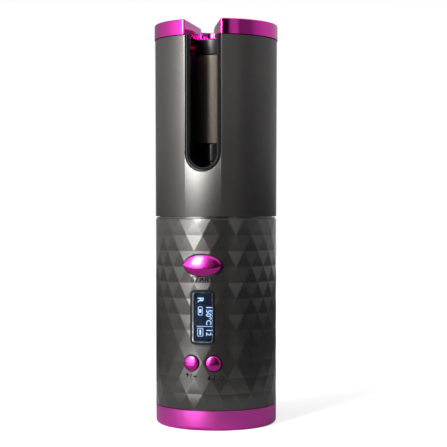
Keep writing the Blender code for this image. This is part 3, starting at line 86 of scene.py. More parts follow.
# Places read from the frame
GRIP_LOW, GRIP_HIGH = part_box("lower_housing")
UPPER_LOW, UPPER_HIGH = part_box("upper_housing")
CAP_LOW, CAP_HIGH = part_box("top_cap_ring")
LINER_LOW, LINER_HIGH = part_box("chamber_liner")
BASE_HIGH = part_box("base_ring")[1]
PLATE_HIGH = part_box("base_plate")[1]
BEZEL_LOW, BEZEL_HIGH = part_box("display_bezel")
WINDOW_LOW, WINDOW_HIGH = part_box("display_window")
LCD_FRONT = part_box("lcd_panel")[0].y
START_LOW, START_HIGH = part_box("start_button")
LEFT_KEY_LOW, LEFT_KEY_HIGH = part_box("plus_minus_button")
BARREL_LOW, BARREL_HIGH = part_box("heated_barrel")
COLLAR_LOW, COLLAR_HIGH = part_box("barrel_base_collar")
END_CAP_LOW, END_CAP_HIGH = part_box("barrel_end_cap")
ROTOR_LOW, ROTOR_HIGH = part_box("winding_rotor")
SOCKET_LOW, SOCKET_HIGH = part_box("charge_socket")

# Upper housing, its slot and the liner behind it
UPPER_WALL = 0.0016
SLOT_HALF_WIDTH = 0.00885
SLOT_DEPTH = 0.0655
SLOT_CENTRE = UPPER_HIGH.z - SLOT_DEPTH + SLOT_HALF_WIDTH
LINER_WALL = 0.0015
LIP_RECESS = 0.0004
LIP_WALL = 0.00185
LIP_EDGE = LIP_WALL / 12

# The lip's bead, from its outer to its inner foot, in lip edges past the bead and behind the front
BEAD_SHARES = ((2.6, 0), (1.8, 1), (1.4, 2.2), (0.9, 1.0), (0.3, 0.4), (-0.4, 0.8), (-1.0, 2.2))

# Faceted grip
FACET_ROWS = 12
FACETS_AROUND = 23
GRIP_RADIUS = -GRIP_LOW.y
GRIP_WALL = 0.0020
GRIP_MARGIN = 0.0002
GRIP_LIP = 0.0003
SEAM_WIDTH = 0.0010
SEAM_DEPTH = 0.0006
NECK_ROOT = 0.0049
NECK_WALL = 0.0017
GRIP_TOP = UPPER_LOW.z - SEAM_WIDTH
GRIP_INNER = GRIP_RADIUS - GRIP_WALL
NECK_OUTER = GRIP_RADIUS - UPPER_WALL - GAP

# Cap and its notch. The mouth's share is of the cap's edge, the others are of its radius.
CAP_RADIUS = CAP_HIGH.x
CAP_SKIRT = UPPER_HIGH.z + GAP
CAP_LEDGE = 0.0006
SPIGOT_WALL = 0.0013
NOTCH_CORNER = 0.0025
NOTCH_MOUTH_SHARE = 1.3
NOTCH_LEFT_SHARE = -0.292
NOTCH_BEND_SHARE = 0.18
NOTCH_RIGHT_SHARES = ((0.331, -1.10), (0.289, -0.958), (-0.013, -0.049), (-0.105, 0.29))
NOTCH_END_SHARES = (-0.243, 0.56)
NOTCH_END_RADIUS_SHARE = 0.147
NOTCH_END_STEPS = 16

# Start key
START_HALF_WIDTH = 0.00915
START_HALF_HEIGHT = 0.00495
START_HOLE_GAP = 0.0006
START_PROUD = 0.0024
START_EDGE_PROUD = 0.0007
START_EDGE = 0.00018
START_RIDGE_SHARE = -0.28
START_SLOPE_POWER = 1.15
START_ROUND_POWER = 1.9
START_TIP_FALL = 0.00065
START_FLANGE = 0.0009
START_FLANGE_THICKNESS = 0.0010
START_STEM_RADIUS = 0.0018
START_MIDDLE = (START_LOW.z + START_HIGH.z) / 2
START_COLUMNS = 72
START_ROWS = 12

# Round keys
KEY_ANGLE = math.radians(10.37)
KEY_MIDDLE = (LEFT_KEY_LOW.z + LEFT_KEY_HIGH.z) / 2
KEY_RADIUS = 0.0036
KEY_HOLE_RADIUS = 0.0041
KEY_FLANGE = 0.0007
KEY_FLANGE_THICKNESS = 0.0010
KEY_STEM_RADIUS = 0.0013
KEY_EDGE_PROUD = 0.0004
KEY_PROUD = 0.0013
KEY_EDGE = 0.00015

# Display
DISPLAY_MIDDLE = (BEZEL_LOW.z + BEZEL_HIGH.z) / 2
BEZEL_WIDTH = BEZEL_HIGH.x - BEZEL_LOW.x
BEZEL_HEIGHT = BEZEL_HIGH.z - BEZEL_LOW.z
BEZEL_CORNER = 0.0022
BEZEL_LEAST_CORNER = 0.0004
BEZEL_WALL = 0.0010
BEZEL_BACK = -BEZEL_HIGH.y
BEZEL_EDGE = 0.0002
BEZEL_FINENESS = 0.0008
TRIM_WIDTH = 0.0006
TRIM_DEPTH = 0.0009
WINDOW_EDGE = 0.0001
WINDOW_RECESS = 0.0004
WINDOW_THICKNESS = 0.0010
WINDOW_COLUMNS = 40

# Characters of the display, in two columns that read from top to bottom. Places down the
# window are from its top end or from its middle.
GLYPH_THICKNESS = 0.00008
GLYPH_LINE = 0.00022
LEFT_COLUMN = -0.0014
RIGHT_COLUMN = 0.0026
LETTER_FROM_TOP = 0.0032
LETTER_SIZE = 0.0040
LETTER_BOLD_SHARE = 0.012
FIGURE_BOLD_SHARE = 0.004
BATTERY_FROM_TOP = 0.0086
BATTERY_SIZE = (0.0042, 0.0022)
BATTERY_CORNER = 0.0006
CHARGE_SIZE = (0.0016, 0.0010)
DEGREES_FROM_TOP = 0.0107
DEGREES_SIZE = 0.0036
TIMER_PLACE = 0.0072
TIMER_SIZE = (0.0040, 0.0028)
TIMER_CORNER = 0.0004
HAND_SIZE = (0.0024, 0.0008)
COUNT_SIZE = 0.0035
DIVIDER_PLACE = 0.0043
DIVIDER_ENDS = (-0.0032, 0.0042)

# Printing on the facets
PRINT_RISE = 0.00003
PRINT_FINENESS = 0.0005
PRINT_BOLD_SHARE = 0.022
PRINT_LINE = 0.00034
START_LABEL_DROP = 0.0068
START_LABEL_SIZE = 0.0036
START_LABEL_SPACING = 1.08
KEY_LABEL_DROP = 0.0059
POWER_LABEL_DROP = 0.0067
PLUS_PLACE_SHARE = -1.05
POWER_PLACE_SHARE = 1.15
PLUS_SIZE = 0.0040
MINUS_SIZE = 0.0050
STROKE_SIZE = 0.0030
PLUS_PLACE = -0.0020
MINUS_PLACE = 0.0022
TRIANGLE = ((-0.0040, -0.0011), (-0.0018, -0.0011), (-0.0029, 0.0010))
POWER_STROKE_PLACE = -0.0003
POWER_SIGN_PLACE = (0.0030, -0.0002)
POWER_SIGN_RADIUS = 0.0011
POWER_SIGN_ENDS = (math.radians(125), math.radians(415))
POWER_BAR_HEIGHT = 0.0014

# Barrel
BARREL_RADIUS = BARREL_HIGH.x
BARREL_WALL = 0.0012
BARREL_EDGE = 0.0004
END_CAP_EDGE = 0.0010
COLLAR_GROOVE = 0.0003
POST_OUTER = 0.0050

# Winding rotor
ROTOR_RADIUS = ROTOR_HIGH.x
ROTOR_THICKNESS = 0.0026
ROTOR_RUNNING_GAP = 0.0006
ROTOR_GROOVE_SHARES = (0.80, 0.62)
HUB_OUTER = 0.0090
HUB_INNER = 0.0071
FINGER_THICKNESS = 0.0030
FINGER_SHARE = 0.55
FINGER_HALF_ANGLE = math.radians(7)
FINGER_EDGE = 0.0007
FINGER_STEPS = 10

# Foot
BASE_SCREWS = ("base_screw_1", "base_screw_2")
CHASSIS_SCREWS = ("chassis_screw_1", "chassis_screw_2", "chassis_screw_3")
BASE_RADIUS = BASE_HIGH.x
BASE_TOP = GRIP_LOW.z - GAP
BASE_CORNER = 0.0020
BASE_OPENING = PLATE_HIGH.x + GAP
BASE_FLANGE_WIDTH = 0.0073
BASE_FLANGE_INNER = BASE_OPENING - BASE_FLANGE_WIDTH
BASE_FLANGE_THICKNESS = 0.0020
BASE_SPIGOT_WALL = 0.0015
BASE_PLATE_THICKNESS = 0.0024
PLATE_GROOVE_INSET = 0.0030
PLATE_GROOVE = PLATE_HIGH.x - PLATE_GROOVE_INSET
SCREW_RECESS = 0.0004
SCREW_HEAD = 0.0019
SCREW_HEAD_HEIGHT = 0.0014
SCREW_SHANK = 0.0010
CROSS_WIDTH = 0.0006
CROSS_DEPTH = 0.0008
CROSS_SHARE = 0.62
BOSS_RADIUS = 0.0026
BASE_BOSS_HEIGHT = 0.0045
CHASSIS_BOSS_HEIGHT = 0.0080
SOCKET_WALL = 0.0004
SOCKET_MOUTH_DEPTH = 0.0050
SOCKET_STEPS = 10
CONTACTS_EACH_WAY = 5
CHARGE_POST_RADIUS = 0.0015
CHARGE_POST_INSET = 0.0025

# Camera and lamp
CAMERA_AZIMUTH = math.radians(12.75)
CAMERA_DISTANCE = 0.6418
CAMERA_HEIGHT = 0.1067
CAMERA_PITCH = math.radians(-0.70)
CAMERA_YAW = math.radians(0.33)
CAMERA_LENS = 103.55
SENSOR_WIDTH = 36.0
CAMERA_NEAR = 0.01
LAMP_AZIMUTH = math.radians(-27)
LAMP_DISTANCE = 0.85
LAMP_HEIGHT = 0.55
LAMP_SIZE = (0.40, 0.5)
LAMP_POWER = 16.0
LAMP_AIM_HEIGHT = 0.10

# Studio
WHITE = (1, 1, 1, 1)
WORLD_FILL = 0.25
FLOOR_RADIUS = 3.0
FLOOR_COLOUR = (0.62, 0.62, 0.62, 1)
FLOOR_LIFT = 0.72
ROUND_STAGE_SIDES = 64
SURROUND_SIDES = 96
SURROUND_PEAK = 10.0
SURROUND_NEAR = 0.16
SURROUND_FAR = 6.0
SURROUND_FOOT = -0.20
SURROUND_TOP = 5.2
SURROUND_SINK = 0.0005

# What the object mirrors, by direction: degrees from the front, towards the right, and a colour
SURROUND = (
    (-180, 0.50, 0.50, 0.50),
    (-150, 0.26, 0.26, 0.26),
    (-120, 0.42, 0.42, 0.42),
    (-88, 0.85, 0.85, 0.85),
    (-66, 1.40, 1.40, 1.40),
    (-50, 2.80, 2.80, 2.78),
    (-38, 7.60, 7.60, 7.50),
    (-30, 9.40, 9.40, 9.20),
    (-20, 9.00, 9.00, 8.80),
    (-11, 2.00, 1.92, 1.84),
    (-5, 0.55, 0.51, 0.47),
    (12, 0.24, 0.21, 0.19),
    (19, 0.02, 0.02, 0.02),
    (35, 0.02, 0.02, 0.02),
    (41, 0.55, 0.55, 0.56),
    (52, 0.55, 0.55, 0.56),
    (57, 0.20, 0.20, 0.21),
    (80, 0.22, 0.22, 0.23),
    (90, 0.42, 0.42, 0.43),
    (112, 0.66, 0.66, 0.67),
    (150, 0.60, 0.60, 0.60),
    (180, 0.50, 0.50, 0.50),
)
HALF_TURN = 180

# How much of that light the table and the wall give, by their share of the way out to the wall
TABLE_SHARES = ((0.0, 0.60), (0.030, 0.50), (0.065, 0.15), (0.99, 0.18), (1.0, 1.0))


def clean_mesh(shape, name):
    mesh = bpy.data.meshes.new(name)
    shape.to_mesh(mesh)
    shape.free()
    return mesh


def smoothed(mesh):
    mesh.shade_smooth()
    mesh.set_sharp_from_angle(angle=SMOOTH_ANGLE)


def link_object(name, data):
    thing = bpy.data.objects.new(name, data)
    bpy.context.scene.collection.objects.link(thing)
    return thing


def make_piece(name, shape, finish=None):
    """A named object of a bmesh or a mesh, smooth but for its sharp edges."""
    mesh = clean_mesh(shape, name) if isinstance(shape, bmesh.types.BMesh) else shape
    mesh.name = name
    smoothed(mesh)
    if finish is not None:
        mesh.materials.clear()
        mesh.materials.append(finish)
    return link_object(name, mesh)


def evaluated_mesh(thing):
    depsgraph = bpy.context.evaluated_depsgraph_get()
    return bpy.data.meshes.new_from_object(thing.evaluated_get(depsgraph))


def baked(piece):
    """Applies a piece's modifiers and removes the helpers that they used."""
    helpers = [step.object for step in piece.modifiers if step.type == "BOOLEAN"]
    mesh = evaluated_mesh(piece)
    piece.modifiers.clear()
    old = piece.data
    piece.data = mesh
    bpy.data.meshes.remove(old)
    mesh.name = piece.name
    smoothed(mesh)
    for used in helpers:
        bpy.data.objects.remove(used, do_unlink=True)
    return piece


def boolean(piece, operation, other):
    """Joins or cuts a piece by a shape, or by a helper object, which its bake removes."""
    if not isinstance(other, bpy.types.Object):
        other = make_piece(f"helper of {piece.name}", other)
    modifier = piece.modifiers.new(operation.lower(), "BOOLEAN")
    modifier.operation = operation
    modifier.solver = "EXACT"
    modifier.object = other


def bevel(piece, width, segments=3, angle=SHARP_ANGLE):
    modifier = piece.modifiers.new("rounded edges", "BEVEL")
    modifier.width = width
    modifier.segments = segments
    modifier.limit_method = "ANGLE"
    modifier.angle_limit = math.radians(angle)
    modifier.use_clamp_overlap = True


def done(piece, body, *nodes, slot):
    """Hands a finished piece to its body, in place of the CAD nodes that it stands for."""
    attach(piece, body)
    if nodes:
        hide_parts(*nodes)


def finished(name, shape, finish, body, *nodes, slot):
    """Makes a piece that needs no modifier and hands it to its body."""
    done(make_piece(name, shape, finishes()[finish]), body, *nodes, slot=slot)


def bridge(shape, one, other, closed=True):
    """Faces between two rows that have as many vertices as each other."""
    for place in range(len(one) if closed else len(one) - 1):
        after = (place + 1) % len(one)
        shape.faces.new((one[place], one[after], other[after], other[place]))


def outward(shape):
    bmesh.ops.recalc_face_normals(shape, faces=shape.faces)
    return shape


def turned(profile, segments, closed=True):
    """A body turned about Z from (radius, height) points. One that starts and ends on the axis
    is closed there."""
    shape = bmesh.new()
    angles = [math.tau * place / segments for place in range(segments)]
    rings = [
        [shape.verts.new((radius * math.cos(a), radius * math.sin(a), height))
         for a in (angles if radius else [0])]
        for radius, height in profile
    ]
    pairs = list(zip(rings, rings[1:]))
    if closed and profile[0][0] and profile[-1][0]:
        pairs.append((rings[-1], rings[0]))
    for one, other in pairs:
        if len(one) == len(other) == segments:
            bridge(shape, one, other)
        elif len(one) < len(other):
            for place in range(segments):
                shape.faces.new((one[0], other[(place + 1) % segments], other[place]))
        elif len(one) > len(other):
            for place in range(segments):
                shape.faces.new((one[place], one[(place + 1) % segments], other[0]))
    return outward(shape)


def arc(centre, radius, start, end, steps):
    angles = [start + (end - start) * step / steps for step in range(steps + 1)]
    return [(centre[0] + radius * math.cos(a), centre[1] + radius * math.sin(a)) for a in angles]


def low_edge(radius, height, edge, steps=EDGE_STEPS):
    """The rounded lower outer corner of a turned body."""
    return arc((radius - edge, height + edge), edge, -math.pi / 2, 0, steps)


def high_edge(radius, height, edge, steps=EDGE_STEPS):
    """The rounded upper outer corner of a turned body."""
    return arc((radius - edge, height - edge), edge, 0, math.pi / 2, steps)


def rounded(points, radii, steps=5):
    """An outline with its corners rounded, each by its own radius."""
    outline = []
    count = len(points)
    for place, (point, radius) in enumerate(zip(points, radii)):
        corner = Vector(point)
        if not radius:
            outline.append(tuple(corner))
            continue
        before = (Vector(points[place - 1]) - corner).normalized()
        after = (Vector(points[(place + 1) % count]) - corner).normalized()
        half = before.angle(after) / 2
        middle = (before + after).normalized()
        centre = corner + middle * (radius / math.sin(half))
        first = corner + before * (radius / math.tan(half)) - centre
        turn = first.angle_signed(corner + after * (radius / math.tan(half)) - centre)
        for step in range(steps + 1):
            spoke = first.copy()
            spoke.rotate(Matrix.Rotation(-turn * step / steps, 2))
            outline.append(tuple(centre + spoke))
    return outline


def box_outline(x0, y0, x1, y1):
    return [(x0, y0), (x1, y0), (x1, y1), (x0, y1)]


def rounded_box(width, height, corner, middle):
    """An upright box with round corners, as points round its middle."""
    right, high = width / 2, height / 2
    outline = rounded(box_outline(-right, -high, right, high), [corner] * 4, 6)
    return [(x + middle[0], y + middle[1]) for x, y in outline]


def prism(loops, hoop=False):
    """A body through loops of points that each have as many points as the next. A hoop has no
    ends, because its last loop meets its first."""
    shape = bmesh.new()
    rings = [[shape.verts.new(point) for point in loop] for loop in loops]
    for one, other in zip(rings, [*rings[1:], rings[0]] if hoop else rings[1:]):
        bridge(shape, one, other)
    if not hoop:
        shape.faces.new(list(reversed(rings[0])))
        shape.faces.new(rings[-1])
    return outward(shape)


def level(outline, distance):
    """An outline of (x, z) points in a flat plane before the axis."""
    return [Vector((x, -distance, z)) for x, z in outline]


def lying(outline, height):
    """An outline of (x, y) points at one height."""
    return [Vector((x, y, height)) for x, y in outline]


def upright(outline, *heights):
    return prism([lying(outline, height) for height in heights])


def merged(*shapes):
    whole = bmesh.new()
    for shape in shapes:
        mesh = clean_mesh(shape, "shape")
        whole.from_mesh(mesh)
        bpy.data.meshes.remove(mesh)
    return whole


def laid(shape, matrix):
    bmesh.ops.transform(shape, matrix=matrix, verts=shape.verts)
    return shape


def on_cylinder(x, z, radius):
    return Vector((x, -math.sqrt(radius**2 - x**2), z))


def wrapped(outline, radius):
    """An outline of (x, z) points laid on the round front."""
    return [on_cylinder(x, z, radius) for x, z in outline]


def slot_curve(half_width, top):
    """The slot's U from its upper left end to its upper right end, as (x, z) points."""
    foot = arc((0, SLOT_CENTRE), half_width, math.pi, math.tau, SLOT_STEPS)
    return [(-half_width, top), *foot, (half_width, top)]


def slotted_shell(outer_at, inner_at, half_width, low, high, columns):
    """A round wall whose radii follow the height, open at the front where the slot runs."""
    shape = bmesh.new()
    side = math.asin(half_width / outer_at(SLOT_CENTRE))
    angles = [side + (math.tau - 2 * side) * step / columns for step in range(1, columns)]
    curve = slot_curve(half_width, high)
    skins = []
    for radius_at in (outer_at, inner_at):
        wall = [
            [shape.verts.new((radius_at(z) * math.sin(a), -radius_at(z) * math.cos(a), z))
             for z in (low, high)]
            for a in angles
        ]
        lows, highs = zip(*wall)
        rim = [shape.verts.new(on_cylinder(x, z, radius_at(z))) for x, z in curve]
        foot = [shape.verts.new(on_cylinder(x, low, radius_at(low))) for x, z in curve[1:-1]]
        bridge(shape, lows, highs, closed=False)
        shape.faces.new((foot[-1], lows[0], highs[0], rim[-1], rim[-2]))
        shape.faces.new((lows[-1], foot[0], rim[1], rim[0], highs[-1]))
        bridge(shape, foot, rim[1:-1], closed=False)
        skins.append((rim, [*foot, *lows], [rim[-1], *highs, rim[0]]))
    for one, other, closed in zip(*skins, (False, True, False)):
        bridge(shape, one, other, closed)
    return outward(shape)


def slot_band(profile, top):
    """A band that follows the slot's U. Its section is given as (half width, radius) points."""
    shape = bmesh.new()
    rows = [
        [shape.verts.new(point) for point in wrapped(slot_curve(half_width, top), radius)]
        for half_width, radius in profile
    ]
    for one, other in zip(rows, [*rows[1:], rows[0]]):
        bridge(shape, one, other, closed=False)
    for end in (0, -1):
        shape.faces.new([row[end] for row in rows])
    return outward(shape)


def follow(outline):
    """An outline with points added where a straight stretch crosses the round front."""
    points = []
    for (x, z), (next_x, next_z) in zip(outline, [*outline[1:], outline[0]]):
        pieces = max(1, math.ceil(abs(next_x - x) / BEZEL_FINENESS))
        for step in range(pieces):
            share = step / pieces
            points.append((x + (next_x - x) * share, z + (next_z - z) * share))
    return points


def slab(columns, front, back):
    """A body of upright columns, given as x and its heights, between two surfaces that each
    give a point for x and z."""
    shape = bmesh.new()
    outer, inner = [
        [[shape.verts.new(place_at(x, z)) for z in heights] for x, heights in columns]
        for place_at in (front, back)
    ]
    for skin in (outer, inner):
        for one, other in zip(skin, skin[1:]):
            for low in range(len(one) - 1):
                shape.faces.new((one[low], other[low], other[low + 1], one[low + 1]))
    for end in (0, -1):
        bridge(shape, outer[end], inner[end], closed=False)
        rims = [[column[end] for column in skin] for skin in (outer, inner)]
        bridge(shape, *rims, closed=False)
    bmesh.ops.remove_doubles(shape, verts=shape.verts, dist=MERGE_DISTANCE)
    return outward(shape)


def rod(radius, low, high, place, segments=ROD_SIDES):
    shape = turned([(0, low), (radius, low), (radius, high), (0, high)], segments)
    bmesh.ops.translate(shape, verts=shape.verts, vec=(*place[:2], 0))
    return shape


def node_centre(name):
    low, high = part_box(name)
    return (low + high) / 2


def add_bosses(piece, names, low, high):
    """Screw bosses at the places of the frame's screws, with the holes that go into them."""
    places = [node_centre(name) for name in names]
    hole = SCREW_SHANK + GAP
    boolean(piece, "UNION", merged(*[rod(BOSS_RADIUS, low, high, place) for place in places]))
    bores = [rod(hole, low - OVERRUN, high + OVERRUN, place) for place in places]
    boolean(piece, "DIFFERENCE", merged(*bores))


def flat_text(body, size, x=0.0, y=0.0, spacing=1.0, bold_share=PRINT_BOLD_SHARE):
    """Lettering as a flat mesh round (x, y)."""
    curve = bpy.data.curves.new("lettering", "FONT")
    curve.body = body
    curve.size = size
    curve.space_character = spacing
    curve.offset = size * bold_share
    curve.align_x = "CENTER"
    curve.align_y = "CENTER"
    curve.resolution_u = 4
    carrier = link_object("lettering", curve)
    mesh = evaluated_mesh(carrier)
    bpy.data.objects.remove(carrier, do_unlink=True)
    bpy.data.curves.remove(curve)
    shape = bmesh.new()
    shape.from_mesh(mesh)
    bpy.data.meshes.remove(mesh)
    bmesh.ops.remove_doubles(shape, verts=shape.verts, dist=MERGE_DISTANCE)
    bmesh.ops.translate(shape, verts=shape.verts, vec=(x, y, 0))
    return shape


def flat_outline(points):
    shape = bmesh.new()
    shape.faces.new([shape.verts.new(point) for point in lying(points, 0)])
    return shape


def flat_band(outer, inner, closed=True):
    """The flat strip between two lines with as many points as each other."""
    shape = bmesh.new()
    rows = [[shape.verts.new(point) for point in lying(line, 0)] for line in (outer, inner)]
    bridge(shape, *rows, closed)
    return shape


def flat_frame(size, line, corner, middle):
    inner_corner = max(corner - line, line / 2)
    return flat_band(
        rounded_box(*size, corner, middle),
        rounded_box(size[0] - 2 * line, size[1] - 2 * line, inner_corner, middle),
    )


def flat_bar(x0, y0, x1, y1):
    return flat_outline(box_outline(x0, y0, x1, y1))


def flat_block(size, middle):
    half_x, half_y = size[0] / 2, size[1] / 2
    return flat_bar(middle[0] - half_x, middle[1] - half_y, middle[0] + half_x, middle[1] + half_y)


def thickened(shape, depth):
    """Turns flat faces towards -Y and gives them a thickness in front."""
    for face in outward(shape).faces:
        face.normal_update()
        if face.normal.y > 0:
            face.normal_flip()
    raised = bmesh.ops.extrude_face_region(shape, geom=list(shape.faces))["geom"]
    fronts = [item for item in raised if isinstance(item, bmesh.types.BMVert)]
    bmesh.ops.translate(shape, verts=fronts, vec=(0, -depth, 0))
    return outward(shape)


def printed(shape, x, z, skin):
    """Lays flat lettering round (x, z) on the grip, following its facets."""
    bmesh.ops.triangulate(shape, faces=shape.faces)
    for _ in range(2):
        long_edges = [edge for edge in shape.edges if edge.calc_length() > PRINT_FINENESS]
        bmesh.ops.subdivide_edges(shape, edges=long_edges, cuts=1)
        bmesh.ops.triangulate(shape, faces=shape.faces)
    turn = math.asin(x / GRIP_RADIUS)
    far = GRIP_RADIUS + OVERRUN
    for vert in shape.verts:
        angle = turn + vert.co.x / GRIP_RADIUS
        out = Vector((math.sin(angle), -math.cos(angle), 0))
        rise = Vector((0, 0, z + vert.co.y))
        hit = skin.ray_cast(out * far + rise, -out)[0]
        vert.co = (hit or out * GRIP_RADIUS + rise) + out * PRINT_RISE
    return thickened(shape, PRINT_RISE)


def add_node(tree, kind, inputs=None, **settings):
    """A node with its settings. Its inputs are given by name or number, and each is a plain
    value or the output of another node."""
    node = tree.nodes.new(kind)
    for name, value in settings.items():
        setattr(node, name, value)
    for key, value in (inputs or {}).items():
        if isinstance(value, bpy.types.NodeSocket):
            tree.links.new(value, node.inputs[key])
        else:
            node.inputs[key].default_value = value
    return node


def math_node(tree, operation, *values):
    inputs = dict(enumerate(values))
    return add_node(tree, "ShaderNodeMath", inputs, operation=operation).outputs[0]


def ramp_node(tree, value, stops):
    """The colour that a value has on a ramp of (position, colour) stops."""
    node = add_node(tree, "ShaderNodeValToRGB", {"Fac": value})
    elements = node.color_ramp.elements
    while len(elements) < len(stops):
        elements.new(1.0)
    for element, (position, colour) in zip(elements, stops):
        element.position = position
        element.color = (*colour, 1)
    return node.outputs["Color"]


def tinted(colour, factor):
    return tuple(min(channel * factor, 1) for channel in colour)


class FinishTree:
    """The nodes of one finish, round its Principled shader. Noise mostly lies between the
    lowest and the highest value given here."""

    lowest = 0.3
    highest = 0.7

    def __init__(self, name):
        self.material = bpy.data.materials.new(name)
        self.material.use_nodes = True
        self.tree = self.material.node_tree
        self.shader = self.tree.nodes["Principled BSDF"]
        self.place = self.add("ShaderNodeTexCoord").outputs["Object"]

    def add(self, kind, inputs=None, **settings):
        return add_node(self.tree, kind, inputs, **settings)

    def noise(self, scale, detail=3.0, stretch=(1, 1, 1)):
        mapping = self.add("ShaderNodeMapping", {"Vector": self.place, "Scale": stretch})
        grain = {"Vector": mapping.outputs["Vector"], "Scale": scale, "Detail": detail}
        return self.add("ShaderNodeTexNoise", grain).outputs["Fac"]

    def tones(self, value, colour, dark, light, low=lowest, high=highest):
        stops = ((low, tinted(colour, dark)), (high, tinted(colour, light)))
        return ramp_node(self.tree, value, stops)

    def mix(self, one, other, factor, **settings):
        inputs = {"Factor": factor, "A": one, "B": other}
        node = self.add("ShaderNodeMix", inputs, data_type="RGBA", **settings)
        return node.outputs["Result"]

    def drive(self, socket, value):
        self.tree.links.new(value, self.shader.inputs[socket])

    def colour(self, value):
        self.drive("Base Color", value)

    def roughness(self, value, low, high):
        spread = {
            "Value": value,
            "From Min": self.lowest,
            "From Max": self.highest,
            "To Min": low,
            "To Max": high,
        }
        self.drive("Roughness", self.add("ShaderNodeMapRange", spread).outputs["Result"])

    def relief(self, value, height):
        bump = self.add("ShaderNodeBump", {"Height": value, "Distance": height, "Strength": 1.0})
        self.drive("Normal", bump.outputs["Normal"])

    def made(self, **values):
        for name, value in values.items():
            self.shader.inputs[name.replace("_", " ")].default_value = value
        return self.material


def plastic(name, colour, roughness, spread=0.10, **values):
    """Moulded plastic with fine grain, slow patches of tone and gloss that varies a little."""
    tree = FinishTree(name)
    fine = tree.noise(2600, 2.0)
    tree.colour(tree.tones(tree.noise(60, 4.0), colour, 0.94, 1.06))
    tree.roughness(fine, roughness * (1 - spread), roughness * (1 + spread))
    tree.relief(fine, 0.000006)
    return tree.made(**values)


def metallic_paint_with_painted_glints(name, colour, roughness):
    """Dark metallic paint under a thin satin lacquer, with painted glints: tiny flake spots painted
    brighter into its colour.
    """
    tree = FinishTree(name)
    painted_glint_cells = tree.add("ShaderNodeTexVoronoi", {"Vector": tree.place, "Scale": 5200})
    tone = tree.tones(tree.noise(45, 4.0), colour, 0.93, 1.07)
    # Painted glints: the centre of each flake cell is painted up to 1.35 times brighter, and the rest
    # of the cell a little darker.
    stops = ((0.0, (1.35, 1.35, 1.35)), (0.55, (0.86, 0.86, 0.88)))
    painted_glints = ramp_node(tree.tree, painted_glint_cells.outputs["Distance"], stops)
    tree.colour(tree.mix(tone, painted_glints, 1.0, blend_type="MULTIPLY"))
    fine = tree.noise(3000, 2.0)
    tree.roughness(fine, roughness * 0.92, roughness * 1.08)
    tree.relief(fine, 0.000002)
    return tree.made(Metallic=0.88, Specular_IOR_Level=0.4)


def chrome(name, colour, roughness, ripple_height=0.00002, scuffs=(0.8, 1.3)):
    """Tinted electroplating with faint ripples from the plastic under it."""
    tree = FinishTree(name)
    tree.colour(tree.tones(tree.noise(90, 3.0), colour, 0.95, 1.05))
    scuff = tree.noise(1500, 4.0, (1, 1, 0.25))
    tree.roughness(scuff, roughness * scuffs[0], roughness * scuffs[1])
    tree.relief(tree.noise(240, 1.0), ripple_height)
    return tree.made(Metallic=1.0)


def lead_sheath(name, colour):
    """Smooth extruded insulation, marked by faint rings along its length."""
    tree = FinishTree(name)
    rings = tree.noise(900, 1.0, (0.2, 0.2, 1))
    tree.colour(tree.tones(rings, colour, 0.85, 1))
    tree.roughness(rings, 0.38, 0.52)
    return tree.made()


def circuit_board(name):
    """Green solder mask over fine copper tracks."""
    tree = FinishTree(name)
    turn = tree.add("ShaderNodeMapping", {"Vector": tree.place, "Rotation": (math.pi / 2, 0, 0)})
    tracks = tree.add("ShaderNodeTexBrick", {
        "Vector": turn.outputs["Vector"],
        "Scale": 240,
        "Mortar Size": 0.03,
        "Color1": (0.014, 0.115, 0.050, 1),
        "Color2": (0.020, 0.135, 0.062, 1),
        "Mortar": (0.050, 0.230, 0.100, 1),
    })
    tree.colour(tracks.outputs["Color"])
    tree.roughness(tree.noise(500), 0.32, 0.46)
    tree.relief(tracks.outputs["Fac"], 0.00002)
    return tree.made()


def lcd_glass(name):
    """A dark blue display with its faint grid of cells."""
    tree = FinishTree(name)
    cells = tree.add("ShaderNodeTexChecker", {
        "Vector": tree.place,
        "Scale": 3200,
        "Color1": (0.002, 0.006, 0.015, 1),
        "Color2": (0.003, 0.009, 0.022, 1),
    })
    tree.colour(cells.outputs["Color"])
    tree.roughness(tree.noise(700), 0.22, 0.34)
    return tree.made(Specular_IOR_Level=0.1)


def lit_segment(name, colour, strength):
    """Display characters that glow a little unevenly."""
    tree = FinishTree(name)
    glow = tree.tones(tree.noise(900, 2.0), colour, 0.80, 1)
    tree.colour(glow)
    tree.drive("Emission Color", glow)
    return tree.made(Emission_Strength=strength, Roughness=0.4)


def window_lens(name):
    """A smoked clear lens whose tint varies a little."""
    tree = FinishTree(name)
    stops = ((tree.lowest, (0.80, 0.86, 0.92)), (tree.highest, (0.86, 0.90, 0.95)))
    tree.colour(ramp_node(tree.tree, tree.noise(300, 2.0), stops))
    tree.roughness(tree.noise(1500), 0.0, 0.004)
    return tree.made(Transmission_Weight=1.0, IOR=1.12)


def ceramic(name, colour):
    """Fired coating: fine speckle, soft sheen and a slow change of tone along the tube."""
    tree = FinishTree(name)
    speckle = tree.noise(2200, 5.0)
    tone = tree.tones(tree.noise(35, 3.0, (1, 1, 0.4)), colour, 0.90, 1.08)
    dots = tree.tones(speckle, colour, 0.72, 1.18, 0.35, 0.65)
    tree.colour(tree.mix(tone, dots, 0.35))
    tree.roughness(speckle, 0.42, 0.52)
    tree.relief(speckle, 0.000004)
    return tree.made(Metallic=0.3)


def cell_sleeve(name, colour):
    """Shrink wrap on a battery cell."""
    tree = FinishTree(name)
    wrinkle = tree.noise(260, 3.0, (1, 1, 0.2))
    tree.colour(tree.tones(wrinkle, colour, 0.85, 1))
    tree.roughness(wrinkle, 0.26, 0.36)
    tree.relief(wrinkle, 0.00004)
    return tree.made()


def brushed(name, colour, roughness):
    """Metal with fine turning marks round its axis."""
    tree = FinishTree(name)
    marks = tree.noise(5000, 3.0, (0.04, 0.04, 1))
    tree.colour(tree.tones(tree.noise(120, 3.0), colour, 0.9, 1))
    tree.roughness(marks, roughness * 0.8, roughness * 1.25)
    tree.relief(marks, 0.000003)
    return tree.made(Metallic=1.0)


